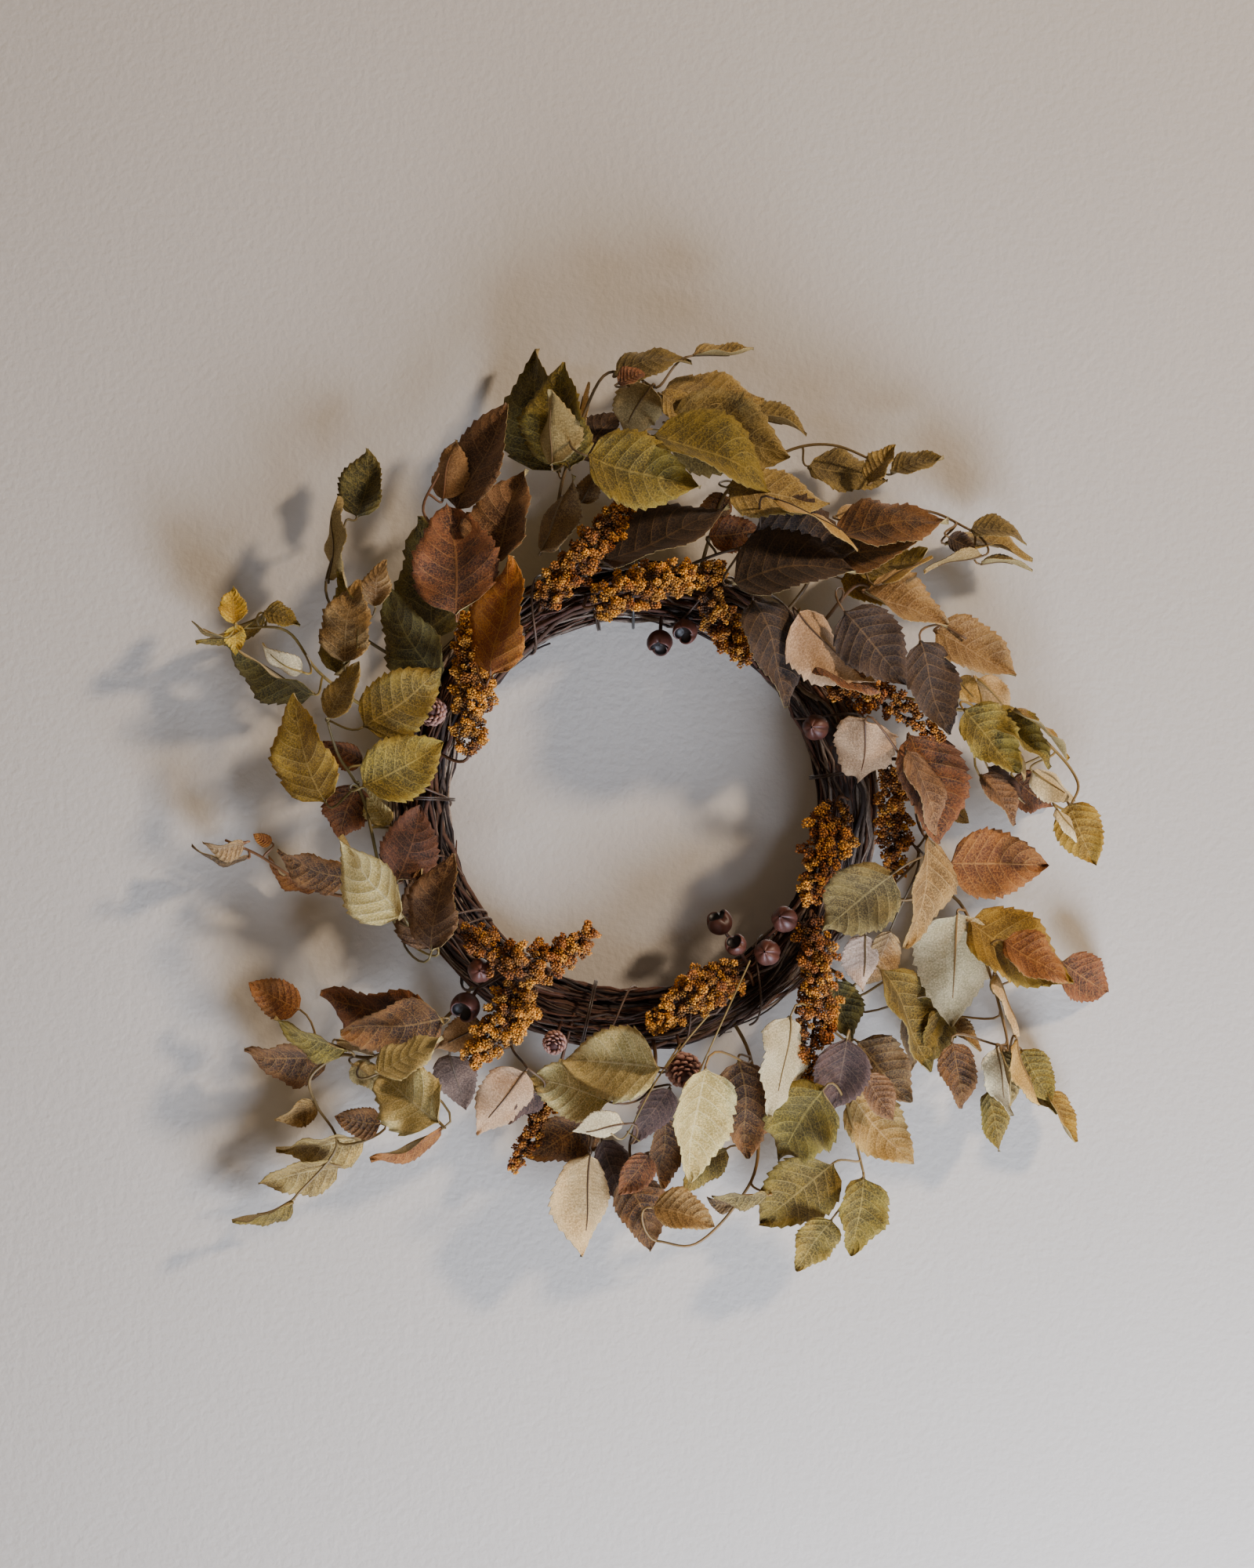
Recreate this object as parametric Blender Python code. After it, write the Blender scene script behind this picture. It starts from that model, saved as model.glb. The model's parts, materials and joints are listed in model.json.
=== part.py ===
"""Harvest door wreath: a grapevine hoop with leaf sprays, seed sprigs, pods and cones.

The wreath hangs in the XZ plane with its front facing -Y. The origin is where the nail bears
in the eye of the hanging loop, a little in front of the wall. Layout lists are in millimetres from the middle of the
hoop (x to the right, z up), as a florist's plan on squared paper; depth is the distance that a
thing stands out from the wall. Every leaf is laid at the first free depth near its own layer.
"""
import math

import bmesh
import bpy
from mathutils import Matrix, Vector
from mathutils.bvhtree import BVHTree

MM = 0.001

# Hoop of vine canes
RING_RADIUS = 138.0 * MM          # middle of the hoop to the middle of its bundle
CANE_RADIUS = 5.0 * MM
CANE_COUNT = 7
CANE_CIRCLE = 16.0 * MM           # circle that the outer canes lie on, round the core
CANE_TWISTS = 2                   # turns that each cane makes round the core
CORE_RADIUS = 6.0 * MM
CANE_STEPS = 32
CANE_SIDES = 5

# Wire, picks and stems
GAP = 0.35 * MM                   # clearance that touching pieces keep
TIE_WIRE_RADIUS = 1.0 * MM
TIE_CLOCKS = (9.0, 101.0, 178.0, 258.0)
HANGER_CLEARANCE = 1.2 * MM       # play of the hanging loop round the bundle
HANGER_WIRE_RADIUS = 1.1 * MM
HANGER_EYE_RADIUS = 6.0 * MM
HANGER_REACH = 37.0 * MM          # middle of the bundle to the middle of the eye
HANGER_LEAN = 34.0                # degrees that the eye leans to the wall
HANGER_SWING = (-10.0, 60.0)      # range kept free of foliage
STEM_RADIUS = 1.3 * MM
STALK_RADIUS = 0.7 * MM
PICK_INSET = 1.0 * MM             # a pick's inner end stays this far off the core
LEAD_OUT = 4.0 * MM               # a pick runs straight this far past the bundle

# Leaves
RIB_HEIGHT = 1.5 * MM
TIP_RADIUS = 0.5 * MM
BLADE_STATIONS = ((0.0, 0.02), (0.30, 0.44), (0.64, 0.38), (1.0, 0.0))  # along, half width
LEAF_ASPECT = 1.45                # length over width
LAYER_DEPTHS = (14.0, 31.0, 48.0, 66.0, 84.0)
DEPTH_STEP = 2.0

# Sizes that the layout lists were drawn at
PLAN_RING_RADIUS = 138.0
LEAF_LENGTH = 70.0 * MM           # full-size leaf; the others keep their share of it
PLAN_LEAF_LENGTH = 70.0

BUNDLE_RADIUS = CANE_CIRCLE + CANE_RADIUS
WALL_GAP = 4.0 * MM
WALL_CLEARANCE = 3.0 * MM         # leaves stay this far off the wall
RING_DEPTH = BUNDLE_RADIUS + WALL_GAP
LEAF_SCALE = LEAF_LENGTH / (PLAN_LEAF_LENGTH * MM)

COLOURS = {
    "vine": "3A2A21", "core": "2E221B", "wire": "4A3A2C", "hanger": "3B3A38",
    "leaf": "7A6A2E", "seed": "B06A22", "pod": "4B2420", "cone": "5B2E26",
}

# Sprays: name, clock of the root, stem points (x, z), depth at the stem's end, leaves.
# Leaf: base x, z, tip x, z, visible width (negative: rolled the other way), layer.
SPRAYS = (
    ("spray_top_left", 113, ((-48, 170), (-45, 209), (-22, 271), (-2, 275), (12, 267)), 46, (
        (-48, 214, -62, 294, 42, 1), (-40, 215, -45, 283, 35, 2), (-52, 216, -50, 264, 25, 3),
        (-36, 235, -28, 272, 10, 1), (-12, 275, 36, 288, 22, 2), (38, 288, 77, 290, 6, 2),
        (-10, 268, 8, 276, 12, 3), (12, 267, -6, 237, 32, 3), (-35, 222, -9, 254, 26, 1),
        (-29, 221, 43, 203, 49, 4), (-59, 161, -35, 209, 20, 2), (-34, 194, -24, 215, 16, 1))),
    ("spray_top", 90, ((2, 180), (8, 222), (40, 246), (72, 249)), 44, (
        (18, 264, 84, 258, 22, 1), (18, 262, 48, 244, 22, 2), (21, 244, 100, 222, 55, 2),
        (11, 234, 88, 201, 45, 3), (71, 249, 112, 241, 12, 1))),
    ("spray_top_right", 70, ((50, 175), (62, 204), (98, 227), (128, 231), (158, 219)), 40, (
        (59, 202, 124, 189, 32, 3), (112, 218, 163, 207, 24, 1), (150, 206, 168, 230, 16, 2),
        (165, 214, 200, 221, 8, 1), (62, 198, 34, 176, 20, 1))),
    ("spray_top_inner", 79, ((34, 152), (52, 160), (74, 166)), 56, (
        (-20, 155, 62, 188, 38, 3), (48, 172, 82, 178, 24, 2), (62, 140, 140, 150, 46, 4),
        (75, 172, 142, 160, 40, 3), (88, 192, 143, 164, 9, 4))),
    ("spray_upper_right", 53, ((110, 140), (124, 168), (160, 187), (190, 188), (216, 176)), 42, (
        (126, 172, 200, 178, 30, 3), (118, 158, 185, 170, 30, 2), (130, 186, 168, 190, 10, 1),
        (143, 150, 190, 160, 18, 1), (158, 141, 190, 158, 6, 3), (134, 146, 180, 138, 22, 1),
        (215, 176, 252, 172, 15, 2), (200, 168, 257, 160, 20, 1), (222, 155, 255, 150, 6, 2),
        (200, 171, 218, 163, 14, 3), (222, 160, 184, 153, 12, 2))),
    ("spray_right_tan", 40, ((122, 118), (145, 142), (166, 128), (190, 120), (213, 107)), 44, (
        (148, 137, 200, 113, 26, 2), (193, 112, 246, 85, 34, 2), (182, 105, 200, 45, 38, 3),
        (133, 123, 172, 76, 42, 4))),
    ("spray_right_inner", 33, ((100, 98), (104, 112)), 60, (
        (104, 124, 151, 76, 28, 3), (112, 90, 155, 70, 18, 2), (76, 130, 97, 62, 36, 4))),
    ("spray_right_gold", 20, ((165, 70), (205, 62), (240, 60), (270, 36), (285, 15), (280, 0)),
     36, (
        (207, 82, 222, 66, 16, 2), (222, 82, 244, 58, 22, 0), (210, 62, 244, 20, 34, 3),
        (224, 50, 254, 20, 14, 2), (228, 60, 268, 26, 26, 1), (243, 62, 280, 32, 12, 2),
        (256, 22, 284, 3, 20, 1), (278, 2, 296, -38, 30, 2), (268, -2, 283, -22, 12, 3),
        (245, 18, 272, 0, 26, 0), (221, 20, 244, -12, 16, 2), (228, 25, 250, 0, 12, 1))),
    ("spray_right_rust", 7, ((168, 30), (176, 20), (183, -14), (200, -34)), 50, (
        (175, 45, 195, -24, 42, 3), (172, 35, 192, -18, 16, 4), (146, 54, 143, 12, 40, 4),
        (205, 0, 215, -10, 12, 1), (202, -37, 267, -38, 45, 2))),
    ("spray_right_olive", -7, ((172, -20), (180, -26)), 54, (
        (187, -19, 171, -90, 36, 3), (162, -42, 121, -78, 46, 4), (148, -82, 144, -118, 22, 2),
        (165, -80, 150, -118, 16, 1))),
    ("spray_outer_right", -24, ((170, -60), (205, -58), (225, -98), (238, -142), (240, -164)),
     38, (
        (207, -68, 204, -142, 52, 3), (214, -74, 283, -112, 50, 1), (236, -86, 278, -112, 28, 2),
        (275, -100, 308, -121, 32, 0), (230, -108, 246, -147, 7, 2),
        (243, -148, 258, -190, 12, 3), (250, -157, 270, -190, 26, 1),
        (242, -160, 272, -200, 24, 0), (266, -184, 281, -218, 8, 1),
        (232, -153, 238, -198, 22, 2), (233, -155, 241, -190, 9, 3),
        (228, -183, 233, -222, 22, 1), (203, -151, 212, -193, 26, 2),
        (203, -140, 223, -160, 12, 0))),
    ("spray_lower_right", -38, ((140, -120), (136, -180), (142, -212), (147, -234)), 46, (
        (135, -146, 128, -192, 36, 3), (143, -150, 176, -190, 34, 2), (140, -186, 180, -230, 40, 1),
        (148, -170, 165, -200, 20, 3), (120, -178, 93, -228, 48, 4), (128, -228, 80, -270, 46, 2),
        (127, -264, 105, -298, 27, 2), (147, -237, 138, -287, 32, 2), (130, -112, 142, -150, 22, 2),
        (158, -105, 186, -172, 22, 1), (172, -115, 180, -172, 22, 0),
        (197, -130, 190, -168, 20, 1), (98, -132, 84, -195, 30, 4))),
    ("spray_bottom_right", -60, ((76, -165), (80, -225), (66, -256), (40, -281), (15, -279)), 34, (
        (46, -165, 35, -237, 42, 4), (68, -162, 70, -225, 36, 2), (60, -220, 30, -248, 18, 1),
        (86, -248, 50, -250, 16, 2), (66, -256, 47, -254, 10, 1), (12, -256, 52, -269, 24, 2))),
    ("spray_bottom", -84, ((14, -165), (8, -190), (-2, -215), (0, -236)), 46, (
        (-6, -238, 12, -286, 32, 1), (10, -222, -10, -248, 22, 2), (24, -180, -2, -214, 26, 2),
        (22, -200, 15, -245, 18, 1), (17, -165, -45, -162, 48, 4), (-15, -188, -66, -174, 40, 3),
        (-6, -200, -38, -207, 16, 4))),
    ("spray_bottom_left", -101, ((-26, -170), (-26, -205), (-28, -220)), 34, (
        (-22, -205, -68, -228, 30, 1), (-28, -222, -32, -288, 32, 2),
        (-20, -215, -5, -260, 28, 0))),
    ("spray_lower_left_inner", -119, ((-78, -152), (-68, -166)), 50, (
        (-68, -168, -100, -208, 34, 3), (-58, -182, -82, -200, 14, 2),
        (-96, -140, -125, -155, 24, 2), (-118, -160, -108, -195, 28, 1))),
    ("spray_lower_left", -134, ((-125, -140), (-165, -160), (-188, -160), (-207, -174),
                                (-203, -192), (-190, -218), (-218, -252)), 40, (
        (-125, -138, -200, -120, 30, 2), (-120, -136, -186, -142, 34, 3),
        (-182, -156, -229, -136, 22, 3), (-213, -130, -246, -113, 26, 2),
        (-195, -160, -250, -160, 20, 1), (-163, -168, -120, -146, 18, 4),
        (-122, -200, -163, -170, 44, 4), (-122, -205, -168, -226, 18, 2),
        (-161, -203, -191, -199, 20, 2), (-172, -214, -230, -221, 28, 1),
        (-189, -232, -241, -242, 20, 1), (-218, -254, -258, -265, 13, 1),
        (-204, -190, -228, -206, 12, 1), (-180, -165, -160, -182, 16, 2),
        (-190, -150, -165, -160, 8, 2))),
    ("spray_left_twig", -160, ((-172, -56), (-192, -57), (-218, -46), (-240, -32), (-262, -22)),
     30, (
        (-182, -46, -228, -30, 24, 2), (-203, -53, -238, -38, 9, 0), (-247, -33, -284, -28, 5, 1),
        (-248, -23, -274, -28, 10, 2), (-232, -24, -244, -18, 9, 1))),
    ("spray_left", -147, ((-140, -88), (-156, -66), (-172, 3), (-188, 32), (-195, 55)), 50, (
        (-194, 55, -171, 90, 22, 3), (-171, 50, -122, 88, 42, 3), (-171, 12, -120, 41, 42, 4),
        (-195, 2, -215, 72, 42, 3), (-173, 28, -199, 42, 16, 1), (-175, 15, -189, -21, 30, 2),
        (-146, -71, -184, -18, 23, 4), (-155, -12, -170, 12, 16, 2), (-150, -48, -136, 1, 37, 3),
        (-125, -91, -139, -41, 26, 3), (-127, -91, -118, -29, 25, 4))),
    ("spray_upper_left", 148, ((-148, 92), (-178, 112), (-197, 138), (-184, 182)), 40, (
        (-128, 105, -138, 186, 45, 1), (-124, 79, -156, 141, 40, 2), (-164, 126, -160, 157, 17, 3),
        (-188, 83, -182, 150, 31, 2), (-183, 90, -175, 144, 35, 3), (-193, 144, -194, 198, 20, 2),
        (-177, 185, -169, 229, 25, 1))),
    ("spray_left_curl", 162, ((-170, 62), (-202, 86), (-222, 112), (-252, 114)), 42, (
        (-254, 116, -256, 139, 18, 2), (-254, 116, -254, 98, 14, 2), (-236, 124, -282, 108, 8, 1),
        (-236, 124, -213, 114, 10, 2), (-204, 72, -260, 105, 15, 1), (-210, 85, -238, 99, 10, 3),
        (-262, 108, -282, 118, 5, 2))),
    ("spray_copper", 131, ((-104, 135), (-116, 166), (-134, 188), (-124, 212)), 52, (
        (-112, 120, -119, 193, 55, 4), (-89, 152, -71, 215, 37, 3), (-112, 188, -77, 255, 33, 2),
        (-122, 195, -114, 234, 22, 2), (-89, 82, -73, 157, 36, 4))),
)

# Seed sprigs: name, root clock, points (x, z), thickest radius, depth of the middle.
SPRIGS = (
    ("seed_sprig_1", 118, ((-58, 128), (-30, 160), (-2, 193)), 12, 64),
    ("seed_sprig_2", 97, ((-28, 126), (12, 140), (58, 150)), 13, 62),
    ("seed_sprig_3", 164, ((-106, 30), (-101, 75), (-104, 122)), 13, 62),
    ("seed_sprig_4", 64, ((46, 132), (58, 114), (72, 92)), 11, 62),
    ("seed_sprig_5", 25, ((126, 84), (136, 74), (160, 68), (196, 42)), 11, 62),
    ("seed_sprig_6", 3, ((130, 4), (124, -24), (112, -60)), 14, 62),
    ("seed_sprig_7", 14, ((164, 26), (166, -8), (168, -46)), 11, 52),
    ("seed_sprig_8", -31, ((113, -70), (116, -120), (110, -176)), 14, 64),
    ("seed_sprig_9", -55, ((70, -104), (46, -116), (10, -140)), 14, 62),
    ("seed_sprig_10", -142, ((-108, -78), (-80, -96), (-50, -97), (-26, -78)), 12, 58),
    ("seed_sprig_11", -122, ((-64, -112), (-80, -134), (-104, -162)), 15, 62),
    ("seed_sprig_12", -108, ((-50, -176), (-62, -205), (-78, -234)), 7, 30),
)

# Pods and cones: name, kind, root clock, place (x, z), radius, depth of the middle.
NUTS = (
    ("seed_pod_1", "pod", 84, (17, 104), 8.5, 40), ("seed_pod_2", "pod", 76, (33, 111), 8.0, 50),
    ("seed_pod_3", "pod", -44, (55, -74), 8.5, 40), ("seed_pod_4", "pod", -40, (96, -72), 8.5, 62),
    ("seed_pod_5", "pod", -48, (85, -93), 8.5, 66), ("seed_pod_6", "pod", -52, (65, -88), 7.0, 60),
    ("seed_pod_7", "pod", -131, (-97, -104), 8.0, 74),
    ("seed_pod_8", "pod", -126, (-107, -128), 9.5, 60),
    ("seed_pod_9", "pod", 29, (116, 50), 8.5, 58),
    ("cone_1", "cone", -72, (32, -167), 11.0, 62), ("cone_2", "cone", -111, (-50, -150), 7.5, 60),
    ("cone_3", "cone", 156, (-128, 60), 9.0, 62),
)


def linear(hex_colour):
    """Turn an sRGB hex colour into linear red, green and blue."""
    parts = [int(hex_colour[i:i + 2], 16) / 255.0 for i in (0, 2, 4)]
    return [c / 12.92 if c <= 0.04045 else ((c + 0.055) / 1.055) ** 2.4 for c in parts]


def finish_material(name, kind, roughness):
    """One plain Principled finish for one piece."""
    material = bpy.data.materials.new(name)
    material.use_nodes = True
    shader = material.node_tree.nodes["Principled BSDF"]
    shader.inputs["Base Color"].default_value = (*linear(COLOURS[kind]), 1.0)
    shader.inputs["Roughness"].default_value = roughness
    shader.inputs["Metallic"].default_value = 0.6 if kind == "hanger" else 0.0
    return material


def add_object(name, verts, faces, kind, parent, roughness=0.75):
    """Make one smooth-shaded object from points and faces."""
    mesh = bpy.data.meshes.new(name)
    mesh.from_pydata([tuple(v) for v in verts], [], faces)
    mesh.validate()
    mesh.materials.append(finish_material(name, kind, roughness))
    mesh.shade_smooth()
    mesh.set_sharp_from_angle(angle=math.radians(50))
    obj = bpy.data.objects.new(name, mesh)
    bpy.context.collection.objects.link(obj)
    obj.parent = parent
    return obj


def plan_point(x, z, depth):
    """A place on the florist's plan: it moves in or out as the hoop's radius changes."""
    reach = math.hypot(x, z)
    shift = RING_RADIUS - PLAN_RING_RADIUS * MM
    scale = (reach * MM + shift) / (reach * MM)
    return Vector((x * MM * scale, -depth * MM, z * MM * scale))


def hoop_point(clock, minor, radius):
    """A point round the bundle: minor 0 faces outward and 90 faces the room (degrees)."""
    c, m = math.radians(clock), math.radians(minor)
    reach = RING_RADIUS + radius * math.cos(m)
    return Vector((reach * math.cos(c), -RING_DEPTH - radius * math.sin(m), reach * math.sin(c)))


def sweep(points, radii, sides, closed=False):
    """A tube along points, with its own radius at each, as one closed shell."""
    count = len(points)
    verts, faces = [], []
    up = Vector((0.0, 1.0, 0.0))
    for i, point in enumerate(points):
        before = points[i - 1] if closed or i else point
        after = points[(i + 1) % count] if closed or i + 1 < count else point
        ahead = (after - before).normalized()
        side = ahead.cross(up)
        if side.length < 0.2:
            side = ahead.cross(Vector((0.3, 0.1, 1.0)))
        side.normalize()
        up = side.cross(ahead).normalized()
        for k in range(sides):
            turn = 2.0 * math.pi * k / sides
            verts.append(point + radii[i] * (math.cos(turn) * side + math.sin(turn) * up))
    rings = count if closed else count - 1
    for i in range(rings):
        a, b = i * sides, ((i + 1) % count) * sides
        for k in range(sides):
            n = (k + 1) % sides
            faces.append((a + k, b + k, b + n, a + n))
    if not closed:
        faces.append(tuple(range(sides)))
        faces.append(tuple(range((count - 1) * sides + sides - 1, (count - 1) * sides - 1, -1)))
    return verts, faces


def outward(verts, faces):
    """The same shell in triangles, with every face turned outward."""
    mesh = bmesh.new()
    made = [mesh.verts.new(v) for v in verts]
    for face in faces:
        mesh.faces.new([made[i] for i in face])
    bmesh.ops.triangulate(mesh, faces=mesh.faces)
    bmesh.ops.recalc_face_normals(mesh, faces=mesh.faces)
    mesh.verts.index_update()
    turned = [tuple(v.index for v in face.verts) for face in mesh.faces]
    mesh.free()
    return verts, turned


def join_shells(shells):
    """Several closed shells as one list of points and faces."""
    verts, faces = [], []
    for shell_verts, shell_faces in shells:
        start = len(verts)
        verts += shell_verts
        faces += [tuple(i + start for i in face) for face in shell_faces]
    return verts, faces


class Bench:
    """Everything laid so far, so that a new piece can be tried for room."""

    def __init__(self):
        self.laid = []

    def lay(self, owner, verts, faces, part="body"):
        lo = [min(v[i] for v in verts) for i in range(3)]
        hi = [max(v[i] for v in verts) for i in range(3)]
        self.laid.append((owner, part, BVHTree.FromPolygons(verts, faces), lo, hi))

    def is_free(self, owner, verts, faces, own=()):
        """True where a piece meets nothing but the named parts of its own owner."""
        lo = [min(v[i] for v in verts) for i in range(3)]
        hi = [max(v[i] for v in verts) for i in range(3)]
        tree = None
        for other, part, other_tree, low, high in self.laid:
            if other == owner and part in own:
                continue
            if any(lo[i] > high[i] or hi[i] < low[i] for i in range(3)):
                continue
            tree = tree or BVHTree.FromPolygons(verts, faces)
            if tree.overlap(other_tree):
                return False
        return True


def steps_about(limit, step):
    """0, then a step either way, then two, up to a limit."""
    yield 0.0
    for k in range(1, int(limit / step) + 1):
        yield k * step
        yield -k * step


def smooth_path(points, per_span):
    """Points of a smooth curve through the given ones (Catmull-Rom)."""
    ends = [points[0] * 2 - points[1]] + list(points) + [points[-1] * 2 - points[-2]]
    path = []
    for i in range(1, len(ends) - 2):
        p0, p1, p2, p3 = ends[i - 1:i + 3]
        for k in range(per_span):
            t = k / per_span
            path.append(0.5 * ((2 * p1) + (p2 - p0) * t + (2 * p0 - 5 * p1 + 4 * p2 - p3) * t * t
                               + (3 * p1 - p0 - 3 * p2 + p3) * t ** 3))
    path.append(points[-1])
    return path


def pick_root(clock, wanted, choice):
    """The straight end of a pick, pushed between two canes: inner point and lead-out point."""
    spacing = 360.0 / CANE_COUNT
    first = CANE_TWISTS * clock + spacing / 2.0
    nearest = round((wanted - first) / spacing)
    minor = first + (nearest + choice) * spacing
    inner = hoop_point(clock, minor, CORE_RADIUS + PICK_INSET + STEM_RADIUS)
    outer = hoop_point(clock, minor, BUNDLE_RADIUS + LEAD_OUT)
    return inner, outer


def root_choices(clock, wanted):
    """Roots to try, from the nearest to the farthest."""
    for shift in steps_about(14.0, 1.4):
        for choice in (0, 1, -1):
            yield pick_root(clock + shift, wanted, choice)


def fatter(radii):
    return [r + GAP for r in radii]


def make_hoop(bench, parent):
    """The core and the canes wound round it."""
    turns = [360.0 * k / CANE_STEPS for k in range(CANE_STEPS)]
    core = outward(*sweep([hoop_point(c, 0, 0) for c in turns], [CORE_RADIUS] * CANE_STEPS,
                          CANE_SIDES, closed=True))
    add_object("vine_core", *core, "core", parent)
    bench.lay("vine_core", *core)
    for index in range(CANE_COUNT):
        start = 360.0 * index / CANE_COUNT
        path = [hoop_point(c, start + CANE_TWISTS * c, CANE_CIRCLE) for c in turns]
        shell = outward(*sweep(path, [CANE_RADIUS] * CANE_STEPS, CANE_SIDES, closed=True))
        name = f"vine_cane_{index + 1}"
        add_object(name, *shell, "vine", parent)
        bench.lay(name, *shell)


def make_ties(bench, parent):
    """Wire ties round the bundle."""
    steps = 16
    radius = (BUNDLE_RADIUS + TIE_WIRE_RADIUS + GAP) / math.cos(math.pi / steps)
    for index, clock in enumerate(TIE_CLOCKS):
        path = [hoop_point(clock, 360.0 * k / steps, radius) for k in range(steps)]
        shell = outward(*sweep(path, [TIE_WIRE_RADIUS] * steps, 4, closed=True))
        name = f"binding_wire_{index + 1}"
        add_object(name, *shell, "wire", parent, 0.5)
        bench.lay(name, *shell)


def hanging_loop_shells():
    """The loop round the bundle, its twisted neck and its eye, about the hinge's own middle."""
    steps = 14
    radius = (BUNDLE_RADIUS + HANGER_WIRE_RADIUS + HANGER_CLEARANCE) / math.cos(math.pi / steps)
    round_bundle = [Vector((0.0, radius * math.sin(2 * math.pi * k / steps),
                            radius * math.cos(2 * math.pi * k / steps))) for k in range(steps)]
    wire = HANGER_WIRE_RADIUS
    eye_steps = 10
    eye = [Vector((HANGER_EYE_RADIUS * math.sin(2 * math.pi * k / eye_steps), 0.0,
                   HANGER_REACH - HANGER_EYE_RADIUS * math.cos(2 * math.pi * k / eye_steps)))
           for k in range(eye_steps)]
    lean = Matrix.Rotation(math.radians(-HANGER_LEAN), 3, "X")
    upright = Matrix.Rotation(math.radians(HANGER_LEAN), 3, "X")
    middle = Vector((0.0, 0.0, HANGER_REACH))
    eye = [lean @ (middle + upright @ (point - middle)) for point in eye]
    neck_start = lean @ Vector((0.0, 0.0, radius - wire))
    neck_end = eye[0] + Vector((0.0, 0.0, -0.2 * wire))
    return (
        outward(*sweep(round_bundle, [wire] * steps, 5, closed=True)),
        outward(*sweep([neck_start, neck_end], [wire * 1.5] * 2, 5)),
        outward(*sweep(eye, [wire] * eye_steps, 5, closed=True)),
    )


def make_hanging_loop(bench, parent):
    """The wire loop that hooks on the nail; its parent empty lies on its hinge axis."""
    axis = bpy.data.objects.new("hanging_loop_axis", None)
    bpy.context.collection.objects.link(axis)
    axis.parent = parent
    axis.location = hoop_point(90.0, 0.0, 0.0)
    shells = hanging_loop_shells()
    loop = add_object("hanging_loop", *shells[0], "hanger", axis, 0.4)
    unite(loop, shells[1:])
    for angle in range(int(HANGER_SWING[0]), int(HANGER_SWING[1]) + 1, 5):
        turn = Matrix.Rotation(math.radians(-angle), 3, "X")
        verts, faces = join_shells(shells)
        bench.lay("hanging_loop", [turn @ v + axis.location for v in verts], faces)


def volume(mesh):
    """The volume that a closed mesh encloses."""
    mesh.calc_loop_triangles()
    points = mesh.vertices
    return sum(points[i].co.dot(points[j].co.cross(points[k].co))
               for i, j, k in (face.vertices for face in mesh.loop_triangles)) / 6.0


def unite(obj, shells):
    """Join closed shells to an object, one after the other, with Boolean unions.

    A union can only add material, so one that loses some is made again with the other solver.
    """
    for shell in shells:
        mesh = bpy.data.meshes.new("joined")
        mesh.from_pydata([tuple(v) for v in shell[0]], [], shell[1])
        cutter = bpy.data.objects.new("joined", mesh)
        cutter.hide_render = True
        cutter.display_type = "WIRE"
        bpy.context.scene.collection.objects.link(cutter)
        cutter.parent = obj.parent
        modifier = obj.modifiers.new("joined", "BOOLEAN")
        modifier.operation = "UNION"
        modifier.object = cutter
        for solver in ("EXACT", "MANIFOLD"):
            modifier.solver = solver
            solid = obj.evaluated_get(bpy.context.evaluated_depsgraph_get())
            joined = bpy.data.meshes.new_from_object(solid)
            if volume(joined) > volume(obj.data):
                break
        obj.modifiers.clear()
        obj.data = joined
        bpy.data.objects.remove(cutter)


def sprig_radii(count, thickest):
    """Lumpy taper of a sprig, from its thin neck to its tip."""
    radii = []
    for k in range(count):
        t = k / (count - 1)
        swell = math.sin(math.pi * min(1.0, 0.12 + 0.88 * t) ** 0.75) ** 0.6 if t < 1 else 0.0
        lump = 1.0 if k % 2 else 0.86
        radii.append(max(2.0, thickest * swell * lump) * MM)
    return radii


def lay_pick(bench, name, clock, wanted, body_at, kind, parent, sides):
    """Lay a pick whose body stands at the first free depth, and make its object."""
    for lift in range(0, 60, 3):
        for inner, outer in root_choices(clock, wanted):
            path, radii = body_at(lift, outer)
            points = [inner, outer] + path
            widths = [STEM_RADIUS] * 2 + radii
            verts, faces = sweep(points, fatter(widths), sides)
            if bench.is_free(name, verts, faces):
                shell = outward(*sweep(points, widths, sides))
                add_object(name, *shell, kind, parent, 0.85)
                bench.lay(name, *shell)
                return
    raise RuntimeError(f"no room for {name}")


def make_sprigs(bench, parent):
    """The seed sprigs on the front of the hoop."""
    for name, clock, plan, thickest, depth in SPRIGS:
        def body_at(lift, outer, plan=plan, thickest=thickest, depth=depth):
            path = smooth_path([plan_point(x, z, depth + lift) for x, z in plan], 3)
            neck = path[0] + 0.35 * (outer - path[0])
            return [neck] + path, [STEM_RADIUS] + sprig_radii(len(path), thickest)
        lay_pick(bench, name, clock, 80.0, body_at, "seed", parent, 6)


def make_nuts(bench, parent):
    """The round pods and the small cones on their wires."""
    bead = ((-1.0, 0.3), (-0.6, 0.8), (0.0, 1.0), (0.6, 0.8), (1.0, 0.25))
    for name, kind, clock, (x, z), radius, depth in NUTS:
        def body_at(lift, outer, x=x, z=z, radius=radius, depth=depth):
            middle = plan_point(x, z, depth + lift)
            ahead = (middle - outer).normalized()
            size = radius * MM
            points = [middle + ahead * (size * at) for at, _ in bead]
            return points, [size * wide for _, wide in bead]
        wanted = 100.0 if math.hypot(x, z) > PLAN_RING_RADIUS else 150.0
        lay_pick(bench, name, clock, wanted, body_at, kind, parent, 7)


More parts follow.
